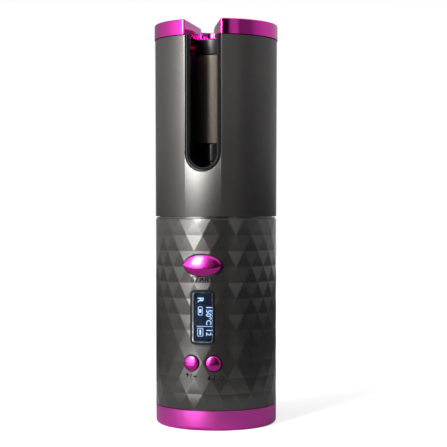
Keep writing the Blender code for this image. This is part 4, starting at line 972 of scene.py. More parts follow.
def make_finishes():
    paints = bpy.context.scene.curler_colours
    metallic_paint_with_painted_glints(FAMILY + "gunmetal", paints.gunmetal, 0.36)
    metallic_paint_with_painted_glints(FAMILY + "facets", paints.facets, 0.16)
    chrome(FAMILY + "plated", paints.plated, 0.09, 0.000008)
    chrome(FAMILY + "keys", tinted(paints.plated, 0.84), 0.18)
    chrome(FAMILY + "satin", paints.satin, 0.32, 0.000002, (0.96, 1.05))
    chrome(FAMILY + "trim", (0.80, 0.82, 0.84), 0.10)
    ceramic(FAMILY + "ceramic", paints.ceramic)
    plastic(FAMILY + "black", (0.012, 0.012, 0.013), 0.34)
    plastic(FAMILY + "gloss", (0.008, 0.008, 0.009), 0.14, 0.2, Specular_IOR_Level=0.2)
    plastic(FAMILY + "print", (0.003, 0.003, 0.003), 0.85, Specular_IOR_Level=0.05)
    plastic(FAMILY + "white", (0.74, 0.74, 0.71), 0.45)
    plastic(FAMILY + "grey", (0.19, 0.19, 0.20), 0.50)
    plastic(FAMILY + "nylon", (0.84, 0.82, 0.76), 0.40, Subsurface_Weight=0.15,
            Subsurface_Radius=(0.001, 0.001, 0.0008))
    window_lens(FAMILY + "lens")
    lcd_glass(FAMILY + "lcd")
    lit_segment(FAMILY + "glow", paints.display, 0.48)
    brushed(FAMILY + "steel", (0.56, 0.56, 0.57), 0.26)
    brushed(FAMILY + "brass", (0.70, 0.50, 0.23), 0.28)
    brushed(FAMILY + "aluminium", (0.72, 0.72, 0.73), 0.34)
    brushed(FAMILY + "nickel", (0.62, 0.60, 0.55), 0.28)
    circuit_board(FAMILY + "board")
    cell_sleeve(FAMILY + "sleeve", (0.030, 0.180, 0.420))
    lead_sheath(FAMILY + "red", (0.46, 0.02, 0.02))
    lead_sheath(FAMILY + "blue", (0.02, 0.06, 0.38))


def finishes():
    """Every finish of the object by its plain name. They are made once."""
    if FAMILY + "gunmetal" not in bpy.data.materials:
        make_finishes()
    made = [material for material in bpy.data.materials if material.name.startswith(FAMILY)]
    return {material.name.removeprefix(FAMILY): material for material in made}


# The frame's nodes that keep their own shape, by the finish that they are given
CARRIED_NODES = {
    "black": ("gear_cover", "buzzer"),
    "grey": ("start_switch", "plus_minus_switch", "power_switch", "battery_frame", "chassis_plate"),
    "white": ("display_backlight", "heater_plate", "thermistor"),
    "steel": ("idler_axle", "gear_motor", "barrel_post", "motor_shaft"),
    "brass": ("rotor_bush", "motor_pinion"),
    "aluminium": ("heater_block",),
    "nickel": ("cell_link",),
    "nylon": ("rotor_gear", "idler_gear"),
    "board": ("main_board", "charge_board", "home_sensor"),
    "sleeve": ("battery_cell_left", "battery_cell_right"),
    "lcd": ("lcd_panel",),
    "red": ("heater_lead", "battery_lead"),
    "blue": ("motor_lead", "charge_lead"),
}


def dress_carried_nodes():
    made = finishes()
    for finish, names in CARRIED_NODES.items():
        for name in names:
            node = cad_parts[name]
            node.data.materials.clear()
            node.data.materials.append(made[finish])


def new_tree(name, result, *inputs):
    """A geometry node tree with its named inputs, and what its input node gives."""
    tree = bpy.data.node_groups.new(name, "GeometryNodeTree")
    tree.interface.new_socket(name=result, in_out="OUTPUT", socket_type="NodeSocketGeometry")
    for label, kind, value in inputs:
        kind = f"NodeSocket{kind}"
        socket = tree.interface.new_socket(name=label, in_out="INPUT", socket_type=kind)
        if value is not None:
            socket.default_value = value
    return tree, tree.nodes.new("NodeGroupInput").outputs


def end_tree(tree, geometry, finish):
    """Ends a tree in real geometry that has its material."""
    real = add_node(tree, "GeometryNodeRealizeInstances", {"Geometry": geometry})
    inputs = {"Geometry": real.outputs["Geometry"], "Material": finish}
    paint = add_node(tree, "GeometryNodeSetMaterial", inputs)
    add_node(tree, "NodeGroupOutput", {0: paint.outputs["Geometry"]})
    return tree


def facet_tree():
    """Geometry nodes for the grip's skin: a grid rolled into a tube, each row turned half a
    facet past the one under it, so that every cell splits into two flat triangles."""
    tree, given = new_tree(
        "curler facets", "Skin",
        ("Rows", "Int", FACET_ROWS),
        ("Facets Around", "Int", FACETS_AROUND),
        ("Radius", "Float", GRIP_RADIUS),
        ("Lowest Row", "Float", GRIP_LOW.z),
        ("Row Height", "Float", (GRIP_TOP - GRIP_LOW.z) / FACET_ROWS),
        ("Finish", "Material", None),
    )

    def calculated(operation, *values):
        return math_node(tree, operation, *values)

    grid = add_node(tree, "GeometryNodeMeshGrid", {
        "Size X": 1.0,
        "Size Y": 1.0,
        "Vertices X": calculated("ADD", given["Facets Around"], 1),
        "Vertices Y": calculated("ADD", given["Rows"], 1),
    })
    position = add_node(tree, "GeometryNodeInputPosition").outputs[0]
    parts = add_node(tree, "ShaderNodeSeparateXYZ", {0: position}).outputs
    across = calculated("ADD", parts["X"], 0.5)
    up = calculated("ADD", parts["Y"], 0.5)
    row = calculated("MULTIPLY", up, given["Rows"])
    below_top = calculated("SUBTRACT", given["Rows"], row)
    place = calculated("MULTIPLY", across, given["Facets Around"])
    place = calculated("ADD", place, calculated("MULTIPLY", below_top, 0.5))
    place = calculated("ADD", place, 0.5)
    share = calculated("DIVIDE", place, given["Facets Around"])
    angle = calculated("MULTIPLY", share, math.tau)
    x = calculated("MULTIPLY", calculated("SINE", angle), given["Radius"])
    y = calculated("MULTIPLY", calculated("COSINE", angle), given["Radius"])
    z = calculated("MULTIPLY", row, given["Row Height"])
    rolled = add_node(tree, "ShaderNodeCombineXYZ", {
        "X": x,
        "Y": calculated("MULTIPLY", y, -1.0),
        "Z": calculated("ADD", z, given["Lowest Row"]),
    })
    inputs = {"Geometry": grid.outputs["Mesh"], "Position": rolled.outputs[0]}
    roll = add_node(tree, "GeometryNodeSetPosition", inputs)
    inputs = {"Geometry": roll.outputs["Geometry"], "Distance": SEAM_MERGE}
    seam = add_node(tree, "GeometryNodeMergeByDistance", inputs)
    split = add_node(tree, "GeometryNodeTriangulate", {"Mesh": seam.outputs["Geometry"]})
    return end_tree(tree, split.outputs["Mesh"], given["Finish"])


def screw_tree():
    """Geometry nodes that set one screw at each end of a line."""
    tree, given = new_tree(
        "curler screws", "Screws",
        ("Count", "Int", len(BASE_SCREWS)),
        ("First", "Vector", None),
        ("Last", "Vector", None),
        ("Screw", "Object", None),
        ("Finish", "Material", None),
    )
    ends = {"Count": given["Count"], "Start Location": given["First"], "Offset": given["Last"]}
    line = add_node(tree, "GeometryNodeMeshLine", ends, mode="END_POINTS")
    screw = add_node(tree, "GeometryNodeObjectInfo", {"Object": given["Screw"]})
    inputs = {"Points": line.outputs["Mesh"], "Instance": screw.outputs["Geometry"]}
    placed = add_node(tree, "GeometryNodeInstanceOnPoints", inputs)
    return end_tree(tree, placed.outputs["Instances"], given["Finish"])


def grown(tree, values):
    """A plain mesh of what a geometry node tree makes, with its inputs set by identifier."""
    carrier = link_object("carrier", bpy.data.meshes.new("carrier"))
    modifier = carrier.modifiers.new("nodes", "NODES")
    modifier.node_group = tree
    for item in tree.interface.items_tree:
        if item.in_out == "INPUT":
            modifier[item.identifier] = values[item.name]
    mesh = evaluated_mesh(carrier)
    bpy.data.objects.remove(carrier, do_unlink=True)
    return mesh


def round_opening(radius, flare):
    """A cutter along +Z for a round hole whose mouth is broken by a small chamfer."""
    back = GRIP_INNER - KEY_FLANGE_THICKNESS - OVERRUN
    mouth = GRIP_RADIUS - flare
    return turned(
        [
            (0, back),
            (radius, back),
            (radius, mouth - flare / 2),
            (radius + flare, mouth + flare / 2),
            (radius + flare + OVERRUN, GRIP_RADIUS + OVERRUN),
            (0, GRIP_RADIUS + OVERRUN),
        ],
        HOLE_SIDES,
    )


def key_pose(side):
    """Lays what is made along +Z out along a round key's own radius."""
    direction = Vector((side * math.sin(KEY_ANGLE), -math.cos(KEY_ANGLE), 0))
    lean = direction.to_track_quat("Z", "Y").to_matrix().to_4x4()
    return Matrix.Translation((0, 0, KEY_MIDDLE)) @ lean


def start_outline(grow):
    """The start key's oval, wider by the same distance all round."""
    angles = [math.tau * step / KEY_SIDES for step in range(KEY_SIDES)]
    half_width, half_height = START_HALF_WIDTH + grow, START_HALF_HEIGHT + grow
    return [(half_width * math.cos(a), START_MIDDLE + half_height * math.sin(a)) for a in angles]


def bezel_outline(grow):
    corner = max(BEZEL_CORNER + grow, BEZEL_LEAST_CORNER)
    size = BEZEL_WIDTH + 2 * grow, BEZEL_HEIGHT + 2 * grow
    return rounded_box(*size, corner, (0, DISPLAY_MIDDLE))


def flared_opening(outline_at, clearance, flare):
    """A cutter through the grip's front whose mouth widens where it meets the surface."""
    return prism([
        level(outline_at(clearance), GRIP_INNER - OVERRUN),
        level(outline_at(clearance), GRIP_RADIUS - 1.8 * flare),
        level(outline_at(clearance + flare), GRIP_RADIUS - 0.4 * flare),
        level(outline_at(clearance + flare + OVERRUN), GRIP_RADIUS + OVERRUN),
    ])


def facet_skin():
    """The grip's faceted skin with a plain rim at its foot and its top, both closed."""
    sizes = bpy.context.scene.curler_sizes
    low, high = GRIP_LOW.z + GRIP_MARGIN, GRIP_TOP - GRIP_LIP
    skin = grown(facet_tree(), {
        "Rows": sizes.facet_rows,
        "Facets Around": sizes.facets_around,
        "Radius": GRIP_RADIUS,
        "Lowest Row": low,
        "Row Height": (high - low) / sizes.facet_rows,
        "Finish": finishes()["facets"],
    })
    shape = bmesh.new()
    shape.from_mesh(skin)
    bpy.data.meshes.remove(skin)
    bmesh.ops.remove_doubles(shape, verts=shape.verts, dist=SEAM_MERGE)
    for height, end_height, inset in (
        (low, GRIP_LOW.z, GRIP_MARGIN),
        (high, GRIP_TOP, GRIP_LIP),
    ):
        rim = [
            edge for edge in shape.edges
            if edge.is_boundary and abs(edge.verts[0].co.z - height) < GRIP_MARGIN / 2
        ]
        grown_rim = bmesh.ops.extrude_edge_only(shape, edges=rim)["geom"]
        factor = (GRIP_RADIUS - inset) / GRIP_RADIUS
        for vert in (item for item in grown_rim if isinstance(item, bmesh.types.BMVert)):
            vert.co = Vector((vert.co.x * factor, vert.co.y * factor, end_height))
        ends = [item for item in grown_rim if isinstance(item, bmesh.types.BMEdge)]
        bmesh.ops.contextual_create(shape, geom=ends)
    return outward(shape)


def build_grip():
    sizes = bpy.context.scene.curler_sizes
    grip = make_piece("grip_shell", facet_skin(), finishes()["facets"])
    bevel(grip, sizes.ridge_width, 2, 2.0)
    neck_top = GRIP_HIGH.z
    shoulder = GRIP_RADIUS - SEAM_DEPTH
    boolean(grip, "UNION", turned([
        (0, GRIP_TOP - GRIP_WALL),
        (shoulder, GRIP_TOP - GRIP_WALL),
        (shoulder, UPPER_LOW.z - GAP),
        (NECK_OUTER, UPPER_LOW.z - GAP),
        (NECK_OUTER, neck_top),
        (0, neck_top),
    ], NECK_SIDES))
    root = GRIP_TOP - NECK_ROOT
    neck_inner = NECK_OUTER - NECK_WALL
    boolean(grip, "DIFFERENCE", turned([
        (0, GRIP_LOW.z - OVERRUN),
        (GRIP_INNER, GRIP_LOW.z - OVERRUN),
        (GRIP_INNER, root - (GRIP_INNER - neck_inner)),
        (neck_inner, root),
        (neck_inner, neck_top + OVERRUN),
        (0, neck_top + OVERRUN),
    ], NECK_SIDES))
    add_bosses(grip, CHASSIS_SCREWS, neck_top - CHASSIS_BOSS_HEIGHT, neck_top)
    flare = sizes.hole_chamfer
    boolean(grip, "DIFFERENCE", merged(
        flared_opening(start_outline, START_HOLE_GAP, flare),
        flared_opening(bezel_outline, GAP, flare),
        *[laid(round_opening(KEY_HOLE_RADIUS, flare), key_pose(side)) for side in (-1, 1)],
    ))
    done(baked(grip), "housing", "lower_housing", slot="gunmetal_facets")


def build_upper_housing():
    low, high = UPPER_LOW.z, UPPER_HIGH.z
    draft = (UPPER_HIGH.x - GRIP_RADIUS) / (high - low)

    def outer(z):
        return GRIP_RADIUS + draft * (z - low)

    def inner(z):
        return GRIP_RADIUS - UPPER_WALL

    shell = slotted_shell(outer, inner, SLOT_HALF_WIDTH, low, high, HOUSING_COLUMNS)
    housing = make_piece("upper_shell", shell, finishes()["gunmetal"])
    bevel(housing, bpy.context.scene.curler_sizes.slot_edge)
    done(baked(housing), "housing", "upper_housing", slot="gunmetal")


def build_liner():
    outer, inner = LINER_HIGH.x, LINER_HIGH.x - LINER_WALL
    lip_outer = SLOT_HALF_WIDTH - GAP
    lip_inner = lip_outer - LIP_WALL
    low, high = LINER_LOW.z, LINER_HIGH.z
    tube = slotted_shell(lambda z: outer, lambda z: inner, lip_outer, low, high, LINER_COLUMNS)
    finished("chamber_wall", tube, "black", "housing", "chamber_liner", slot="black_plastic")
    front = GRIP_RADIUS - LIP_RECESS
    bead = (lip_outer + lip_inner) / 2 - LIP_EDGE
    profile = [
        (lip_outer, inner),
        (lip_outer, front - LIP_EDGE),
        (lip_outer - LIP_EDGE, front),
        *[(bead + past * LIP_EDGE, front - back * LIP_EDGE) for past, back in BEAD_SHARES],
        (lip_inner + LIP_EDGE, front - 4 * LIP_EDGE),
        (lip_inner, front - 5.5 * LIP_EDGE),
        (lip_inner, inner),
    ]
    lip = slot_band(profile, high - GAP)
    finished("slot_lip", lip, "gloss", "housing", slot="black_plastic")


def notch_walls():
    """The notch's own points, from its front right corner round its end to the front left."""
    scaled = [(x * CAP_RADIUS, y * CAP_RADIUS) for x, y in NOTCH_RIGHT_SHARES]
    (x0, y0), (x1, y1) = scaled[:2]
    dx, dy = x1 - x0, y1 - y0
    a, b, c = dx * dx + dy * dy, 2 * (x0 * dx + y0 * dy), x0 * x0 + y0 * y0 - CAP_RADIUS**2
    t = (-b - math.sqrt(b * b - 4 * a * c)) / (2 * a)
    front_right = (x0 + t * dx, y0 + t * dy)
    left = NOTCH_LEFT_SHARE * CAP_RADIUS
    front_left = (left, -math.sqrt(CAP_RADIUS**2 - left**2))
    centre = (NOTCH_END_SHARES[0] * CAP_RADIUS, NOTCH_END_SHARES[1] * CAP_RADIUS)
    end = arc(centre, NOTCH_END_RADIUS_SHARE * CAP_RADIUS, 0, math.pi, NOTCH_END_STEPS)
    bend = (left, NOTCH_BEND_SHARE * CAP_RADIUS)
    return front_right, scaled[2:], end, bend, front_left


def build_cap():
    edge = bpy.context.scene.curler_sizes.cap_edge
    front_right, right, end, bend, front_left = notch_walls()
    start = math.atan2(front_left[1], front_left[0])
    stop = math.atan2(front_right[1], front_right[0])
    circle = arc((0, 0), CAP_RADIUS, start, stop - math.tau, CAP_STEPS)[2:-2]
    points = [front_right, *right, *end, bend, front_left, *circle]
    mouth = edge * NOTCH_MOUTH_SHARE
    radii = [mouth, *[NOTCH_CORNER] * len(right), *[0] * len(end), NOTCH_CORNER, mouth]
    outline = rounded(points, [*radii, *[0] * len(circle)])
    cap_shape = upright(outline, CAP_LOW.z - OVERRUN, CAP_HIGH.z)
    cap = make_piece("cap_shell", cap_shape, finishes()["plated"])
    bevel(cap, edge, 4)
    ceiling = CAP_SKIRT + CAP_LEDGE
    spigot_outer = LINER_HIGH.x - LINER_WALL - GAP
    far = CAP_RADIUS + OVERRUN
    deep = CAP_LOW.z - 2 * OVERRUN
    boolean(cap, "DIFFERENCE", turned([
        (0, deep),
        (0, ceiling),
        (spigot_outer - SPIGOT_WALL, ceiling),
        (spigot_outer - SPIGOT_WALL, CAP_LOW.z),
        (spigot_outer, CAP_LOW.z),
        (spigot_outer, ceiling),
        (LINER_HIGH.x + GAP, ceiling),
        (LINER_HIGH.x + GAP, CAP_SKIRT),
        (far, CAP_SKIRT),
        (far, deep),
    ], CAP_STEPS))
    done(baked(cap), "housing", "top_cap_ring", slot="plated_magenta")


def build_foot_ring():
    flange_low = BASE_PLATE_THICKNESS + GAP
    flange_high = flange_low + BASE_FLANGE_THICKNESS
    spigot_outer = GRIP_INNER - GAP
    spigot_inner = spigot_outer - BASE_SPIGOT_WALL
    edge = GAP / 2
    ring_shape = turned([
        (BASE_FLANGE_INNER, flange_low),
        (BASE_OPENING, flange_low),
        (BASE_OPENING, edge),
        (BASE_OPENING + edge, 0),
        *low_edge(BASE_RADIUS, 0, BASE_CORNER, CORNER_STEPS),
        (BASE_RADIUS, BASE_TOP - edge),
        (BASE_RADIUS - edge, BASE_TOP),
        (spigot_outer, BASE_TOP),
        (spigot_outer, BASE_HIGH.z),
        (spigot_inner, BASE_HIGH.z),
        (spigot_inner, flange_high),
        (BASE_FLANGE_INNER, flange_high),
    ], WIDE_SIDES)
    ring = make_piece("foot_ring", ring_shape, finishes()["satin"])
    add_bosses(ring, BASE_SCREWS, flange_low + GAP, flange_high + BASE_BOSS_HEIGHT)
    done(baked(ring), "housing", "base_ring", slot="satin_magenta")


def port_outline(grow):
    """The charging inlet's slot with its round ends, wider by the same distance all round."""
    half = (SOCKET_HIGH.y - SOCKET_LOW.y) / 2 + grow
    reach = (SOCKET_HIGH.x - SOCKET_LOW.x) / 2 + grow - half
    middle_y = (SOCKET_HIGH.y + SOCKET_LOW.y) / 2
    right = arc((reach, middle_y), half, -math.pi / 2, math.pi / 2, SOCKET_STEPS)
    left = arc((-reach, middle_y), half, math.pi / 2, 3 * math.pi / 2, SOCKET_STEPS)
    return right + left


def build_foot_plate():
    radius, top, edge = PLATE_HIGH.x, BASE_PLATE_THICKNESS, GAP
    profile = [
        (0, 0),
        (PLATE_GROOVE - 3 * edge, 0),
        (PLATE_GROOVE - 2 * edge, edge),
        (PLATE_GROOVE - edge, edge),
        (PLATE_GROOVE, 0),
        (radius - edge, 0),
        (radius, edge),
        (radius, top),
        (0, top),
    ]
    plate = make_piece("foot_plate", turned(profile, WIDE_SIDES), finishes()["black"])
    ceiling = SCREW_RECESS + SCREW_HEAD_HEIGHT + GAP
    cuts = [prism([
        lying(port_outline(3 * GAP), -edge),
        lying(port_outline(GAP), 1.5 * edge),
        lying(port_outline(GAP), top + OVERRUN),
    ])]
    for place in map(node_centre, BASE_SCREWS):
        cuts.append(rod(SCREW_HEAD + GAP, -OVERRUN, ceiling, place, SCREW_SIDES))
        cuts.append(rod(SCREW_SHANK + GAP, ceiling - GAP, top + OVERRUN, place))
    board = node_centre("charge_board")
    board_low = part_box("charge_board")[0]
    reach = -board_low.x - CHARGE_POST_INSET
    boolean(plate, "UNION", merged(*[
        rod(CHARGE_POST_RADIUS, top / 2, board_low.z - GAP, (x, board.y)) for x in (-reach, reach)
    ]))
    boolean(plate, "DIFFERENCE", merged(*cuts))
    bevel(plate, edge / 3, 1, 60)
    done(baked(plate), "housing", "base_plate", slot="black_plastic")
    build_charging_inlet()


def build_charging_inlet():
    low, high = SOCKET_LOW.z, SOCKET_HIGH.z
    floor = low + SOCKET_MOUTH_DEPTH
    shell = prism([
        lying(port_outline(-SOCKET_WALL), floor),
        lying(port_outline(-SOCKET_WALL), low),
        lying(port_outline(0), low),
        lying(port_outline(0), high),
    ])
    finished("charge_port", shell, "steel", "housing", "charge_socket", slot="steel")
    middle = (SOCKET_HIGH.y + SOCKET_LOW.y) / 2
    half = (SOCKET_HIGH.x - SOCKET_LOW.x) / 2 - 3 * SOCKET_WALL
    depth = (SOCKET_HIGH.y - SOCKET_LOW.y) / 8
    outline = box_outline(-half, middle - depth, half, middle + depth)
    tongue_shape = upright(outline, low + 2 * SOCKET_WALL, floor + SOCKET_WALL)
    tongue = make_piece("charge_tongue", tongue_shape, finishes()["black"])
    bevel(tongue, depth / 3, 2)
    done(baked(tongue), "housing", slot="black_plastic")
    contacts = []
    contact_half = half / 16
    for side in (-1, 1):
        near = middle + side * depth
        far = near + side * contact_half / 4
        for place in range(-CONTACTS_EACH_WAY, CONTACTS_EACH_WAY + 1):
            x = place * half / (CONTACTS_EACH_WAY + 1)
            outline = box_outline(x - contact_half, near, x + contact_half, far)
            contacts.append(upright(outline, low + 3 * SOCKET_WALL, floor))
    finished("charge_contacts", merged(*contacts), "brass", "housing", slot="brass")


def build_foot_screws():
    low, high = [corner.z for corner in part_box(BASE_SCREWS[0])]
    head_high = low + SCREW_HEAD_HEIGHT
    edge = GAP
    pattern = make_piece("screw pattern", turned([
        (0, low),
        (SCREW_HEAD - 2 * edge, low),
        (SCREW_HEAD - edge, low + edge / 3),
        (SCREW_HEAD, low + 1.3 * edge),
        (SCREW_HEAD, head_high),
        (SCREW_SHANK, head_high),
        (SCREW_SHANK, high - SCREW_SHANK),
        (SCREW_SHANK / 3, high),
        (0, high),
    ], SCREW_SIDES))
    long_half, short_half = SCREW_HEAD * CROSS_SHARE, CROSS_WIDTH / 2
    for half_x, half_y in ((long_half, short_half), (short_half, long_half)):
        outline = box_outline(-half_x, -half_y, half_x, half_y)
        boolean(pattern, "DIFFERENCE", upright(outline, low - OVERRUN, low + CROSS_DEPTH))
        baked(pattern)
    first, last = [Vector((*node_centre(name)[:2], 0)) for name in BASE_SCREWS]
    mesh = grown(screw_tree(), {
        "Count": len(BASE_SCREWS),
        "First": first,
        "Last": last,
        "Screw": pattern,
        "Finish": finishes()["steel"],
    })
    bpy.data.objects.remove(pattern, do_unlink=True)
    finished("foot_screws", mesh, "steel", "housing", *BASE_SCREWS, slot="steel")


def build_barrel():
    edge = BARREL_EDGE
    inner = BARREL_RADIUS - BARREL_WALL
    low, high = BARREL_LOW.z, BARREL_HIGH.z
    tube = turned([
        (inner, low),
        *low_edge(BARREL_RADIUS, low, edge),
        *high_edge(BARREL_RADIUS, high, edge),
        (inner, high),
    ], BARREL_SIDES)
    finished("coated_barrel", tube, "ceramic", "housing", "heated_barrel", slot="tan_ceramic")
    plug = inner - GAP
    bottom, collar_top = COLLAR_LOW.z, low - GAP
    groove = (bottom + collar_top) / 2
    core = POST_OUTER + GAP
    collar = turned([
        (core, bottom),
        *low_edge(BARREL_RADIUS, bottom, edge),
        (BARREL_RADIUS, groove - COLLAR_GROOVE),
        (BARREL_RADIUS - COLLAR_GROOVE, groove),
        (BARREL_RADIUS, groove + COLLAR_GROOVE),
        *high_edge(BARREL_RADIUS, collar_top, edge),
        (plug, collar_top),
        (plug, COLLAR_HIGH.z),
        (core, COLLAR_HIGH.z),
    ], BARREL_SIDES)
    finished("barrel_collar", collar, "gloss", "housing", "barrel_base_collar",
             slot="black_plastic")
    cap_low, cap_high = high + GAP, END_CAP_HIGH.z
    corner = END_CAP_EDGE
    cap = turned([
        (0, END_CAP_LOW.z),
        (plug, END_CAP_LOW.z),
        (plug, cap_low),
        *low_edge(BARREL_RADIUS, cap_low, edge),
        *high_edge(BARREL_RADIUS, cap_high, corner, CORNER_STEPS),
        (plug - corner, cap_high),
        (plug - 1.5 * corner, cap_high - COLLAR_GROOVE),
        (0, cap_high - COLLAR_GROOVE),
    ], BARREL_SIDES)
    finished("barrel_tip", cap, "black", "housing", "barrel_end_cap", slot="black_plastic")


def build_rotor():
    disc_high = COLLAR_LOW.z - ROTOR_RUNNING_GAP
    disc_low = disc_high - ROTOR_THICKNESS
    edge = BARREL_EDGE
    grooves = []
    for share in ROTOR_GROOVE_SHARES:
        middle = ROTOR_RADIUS * share
        grooves += [
            (middle + edge, disc_high),
            (middle + edge / 2, disc_high - edge),
            (middle - edge / 2, disc_high - edge),
            (middle - edge, disc_high),
        ]
    disc = turned([
        (HUB_INNER, ROTOR_LOW.z),
        (HUB_OUTER, ROTOR_LOW.z),
        (HUB_OUTER, disc_low),
        *low_edge(ROTOR_RADIUS, disc_low, edge),
        *high_edge(ROTOR_RADIUS, disc_high, edge),
        *grooves,
        (HUB_INNER, disc_high),
    ], WIDE_SIDES)
    rotor = make_piece("turntable", disc, finishes()["black"])
    middle = BARREL_RADIUS + FINGER_SHARE * (ROTOR_RADIUS + ROTOR_RUNNING_GAP - BARREL_RADIUS)
    near, far = middle - FINGER_THICKNESS / 2, middle + FINGER_THICKNESS / 2
    fingers = []
    for facing_angle in (0, math.pi):
        start, end = facing_angle - FINGER_HALF_ANGLE, facing_angle + FINGER_HALF_ANGLE
        outline = arc((0, 0), far, start, end, FINGER_STEPS)
        outline += arc((0, 0), near, end, start, FINGER_STEPS)
        fingers.append(upright(outline, disc_high - ROTOR_THICKNESS / 2, ROTOR_HIGH.z))
    posts = make_piece("finger posts", merged(*fingers))
    bevel(posts, FINGER_EDGE, 4)
    boolean(rotor, "UNION", baked(posts))
    done(baked(rotor), "rotor", "winding_rotor", slot="black_plastic")


def crown_radius(x, share):
    """Distance of the start key's face from the axis. The face is a lens: its ridge falls to
    the tips, the part above the ridge is rounded and the part below it is almost flat."""
    tip = (x / START_HALF_WIDTH) ** 2
    drop = (START_PROUD - START_EDGE_PROUD) * max(0.0, 1 - tip) ** 0.5
    fallen = (-share) ** START_SLOPE_POWER if share < 0 else share**START_ROUND_POWER
    return GRIP_RADIUS + START_PROUD - START_TIP_FALL * tip - drop * fallen


def build_start_key():
    flange_front = math.sqrt(GRIP_INNER**2 - (START_HALF_WIDTH + START_FLANGE) ** 2) - GAP
    shares = [step / START_ROWS for step in range(-START_ROWS, START_ROWS + 1)]
    columns = []
    for step in range(1, START_COLUMNS):
        angle = math.pi * step / START_COLUMNS
        reach = START_HALF_HEIGHT * math.sin(angle)
        ridge = START_RIDGE_SHARE * reach
        spans = [ridge + reach if share < 0 else reach - ridge for share in shares]
        rows = [START_MIDDLE + ridge + share * span for share, span in zip(shares, spans)]
        columns.append((-START_HALF_WIDTH * math.cos(angle), rows))

    def face(x, z):
        reach = START_HALF_HEIGHT * math.sqrt(1 - (x / START_HALF_WIDTH) ** 2)
        ridge = START_MIDDLE + START_RIDGE_SHARE * reach
        low_span = reach * (1 + START_RIDGE_SHARE)
        high_span = reach * (1 - START_RIDGE_SHARE)
        share = (z - ridge) / (low_span if z < ridge else high_span)
        return on_cylinder(x, z, crown_radius(x, share))

    def back(x, z):
        return Vector((x, -flange_front, z))

    key = make_piece("start_key_cap", slab(columns, face, back), finishes()["keys"])
    bevel(key, START_EDGE, 3, 50)
    done(baked(key), "start_key", "start_button", slot="plated_magenta")
    flange_back = flange_front - START_FLANGE_THICKNESS
    flange = prism([level(start_outline(START_FLANGE), y) for y in (flange_front, flange_back)])
    carrier = make_piece("start_key_carrier", flange, finishes()["black"])
    lay = Matrix.Translation((0, 0, START_MIDDLE)) @ Matrix.Rotation(math.pi / 2, 4, "X")
    stem = rod(START_STEM_RADIUS, -START_HIGH.y, flange_back + GAP, (0, 0))
    boolean(carrier, "UNION", laid(stem, lay))
    done(baked(carrier), "start_key", slot="black_plastic")


def build_round_keys():
    flange_radius = KEY_HOLE_RADIUS + KEY_FLANGE - GAP
    flange_front = math.sqrt(GRIP_INNER**2 - flange_radius**2) - GAP
    flange_back = flange_front - KEY_FLANGE_THICKNESS
    rim = GRIP_RADIUS + KEY_EDGE_PROUD
    rise = KEY_PROUD - KEY_EDGE_PROUD
    dome = []
    for step in range(DOME_STEPS):
        angle = math.pi / 2 * step / DOME_STEPS
        reach = (KEY_RADIUS - KEY_EDGE) * math.cos(angle) + KEY_EDGE * math.cos(angle) ** 4
        dome.append((reach, rim + rise * math.sin(angle)))
    bodies = ((-1, "plus_minus_key", "plus_minus_button"), (1, "power_key", "power_button"))
    for side, body, node in bodies:
        inner_y = -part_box(node)[1].y
        stem_end = (inner_y + KEY_STEM_RADIUS * math.sin(KEY_ANGLE)) / math.cos(KEY_ANGLE)
        cap = [(0, flange_front), (KEY_RADIUS, flange_front), *dome, (0, rim + rise)]
        carrier = [
            (0, stem_end),
            (KEY_STEM_RADIUS, stem_end),
            (KEY_STEM_RADIUS, flange_back),
            (flange_radius, flange_back),
            (flange_radius, flange_front),
            (0, flange_front),
        ]
        cap, carrier = [laid(turned(shape, KEY_SIDES), key_pose(side)) for shape in (cap, carrier)]
        finished(f"{body}_cap", cap, "keys", body, node, slot="plated_magenta")
        finished(f"{body}_carrier", carrier, "black", body, slot="black_plastic")


def evened(outline, count):
    """Gives an outline the wanted number of points: it loses some where they lie closest, or
    gains some where they lie furthest apart."""
    points = list(outline)
    while len(points) > count:
        afters = [*points[1:], points[0]]
        lengths = [math.dist(points[place - 1], after) for place, after in enumerate(afters)]
        points.pop(lengths.index(min(lengths)))
    while len(points) < count:
        afters = [*points[1:], points[0]]
        lengths = [math.dist(*pair) for pair in zip(points, afters)]
        longest = lengths.index(max(lengths))
        (x0, z0), (x1, z1) = points[longest], afters[longest]
        points.insert(longest + 1, ((x0 + x1) / 2, (z0 + z1) / 2))
    return points


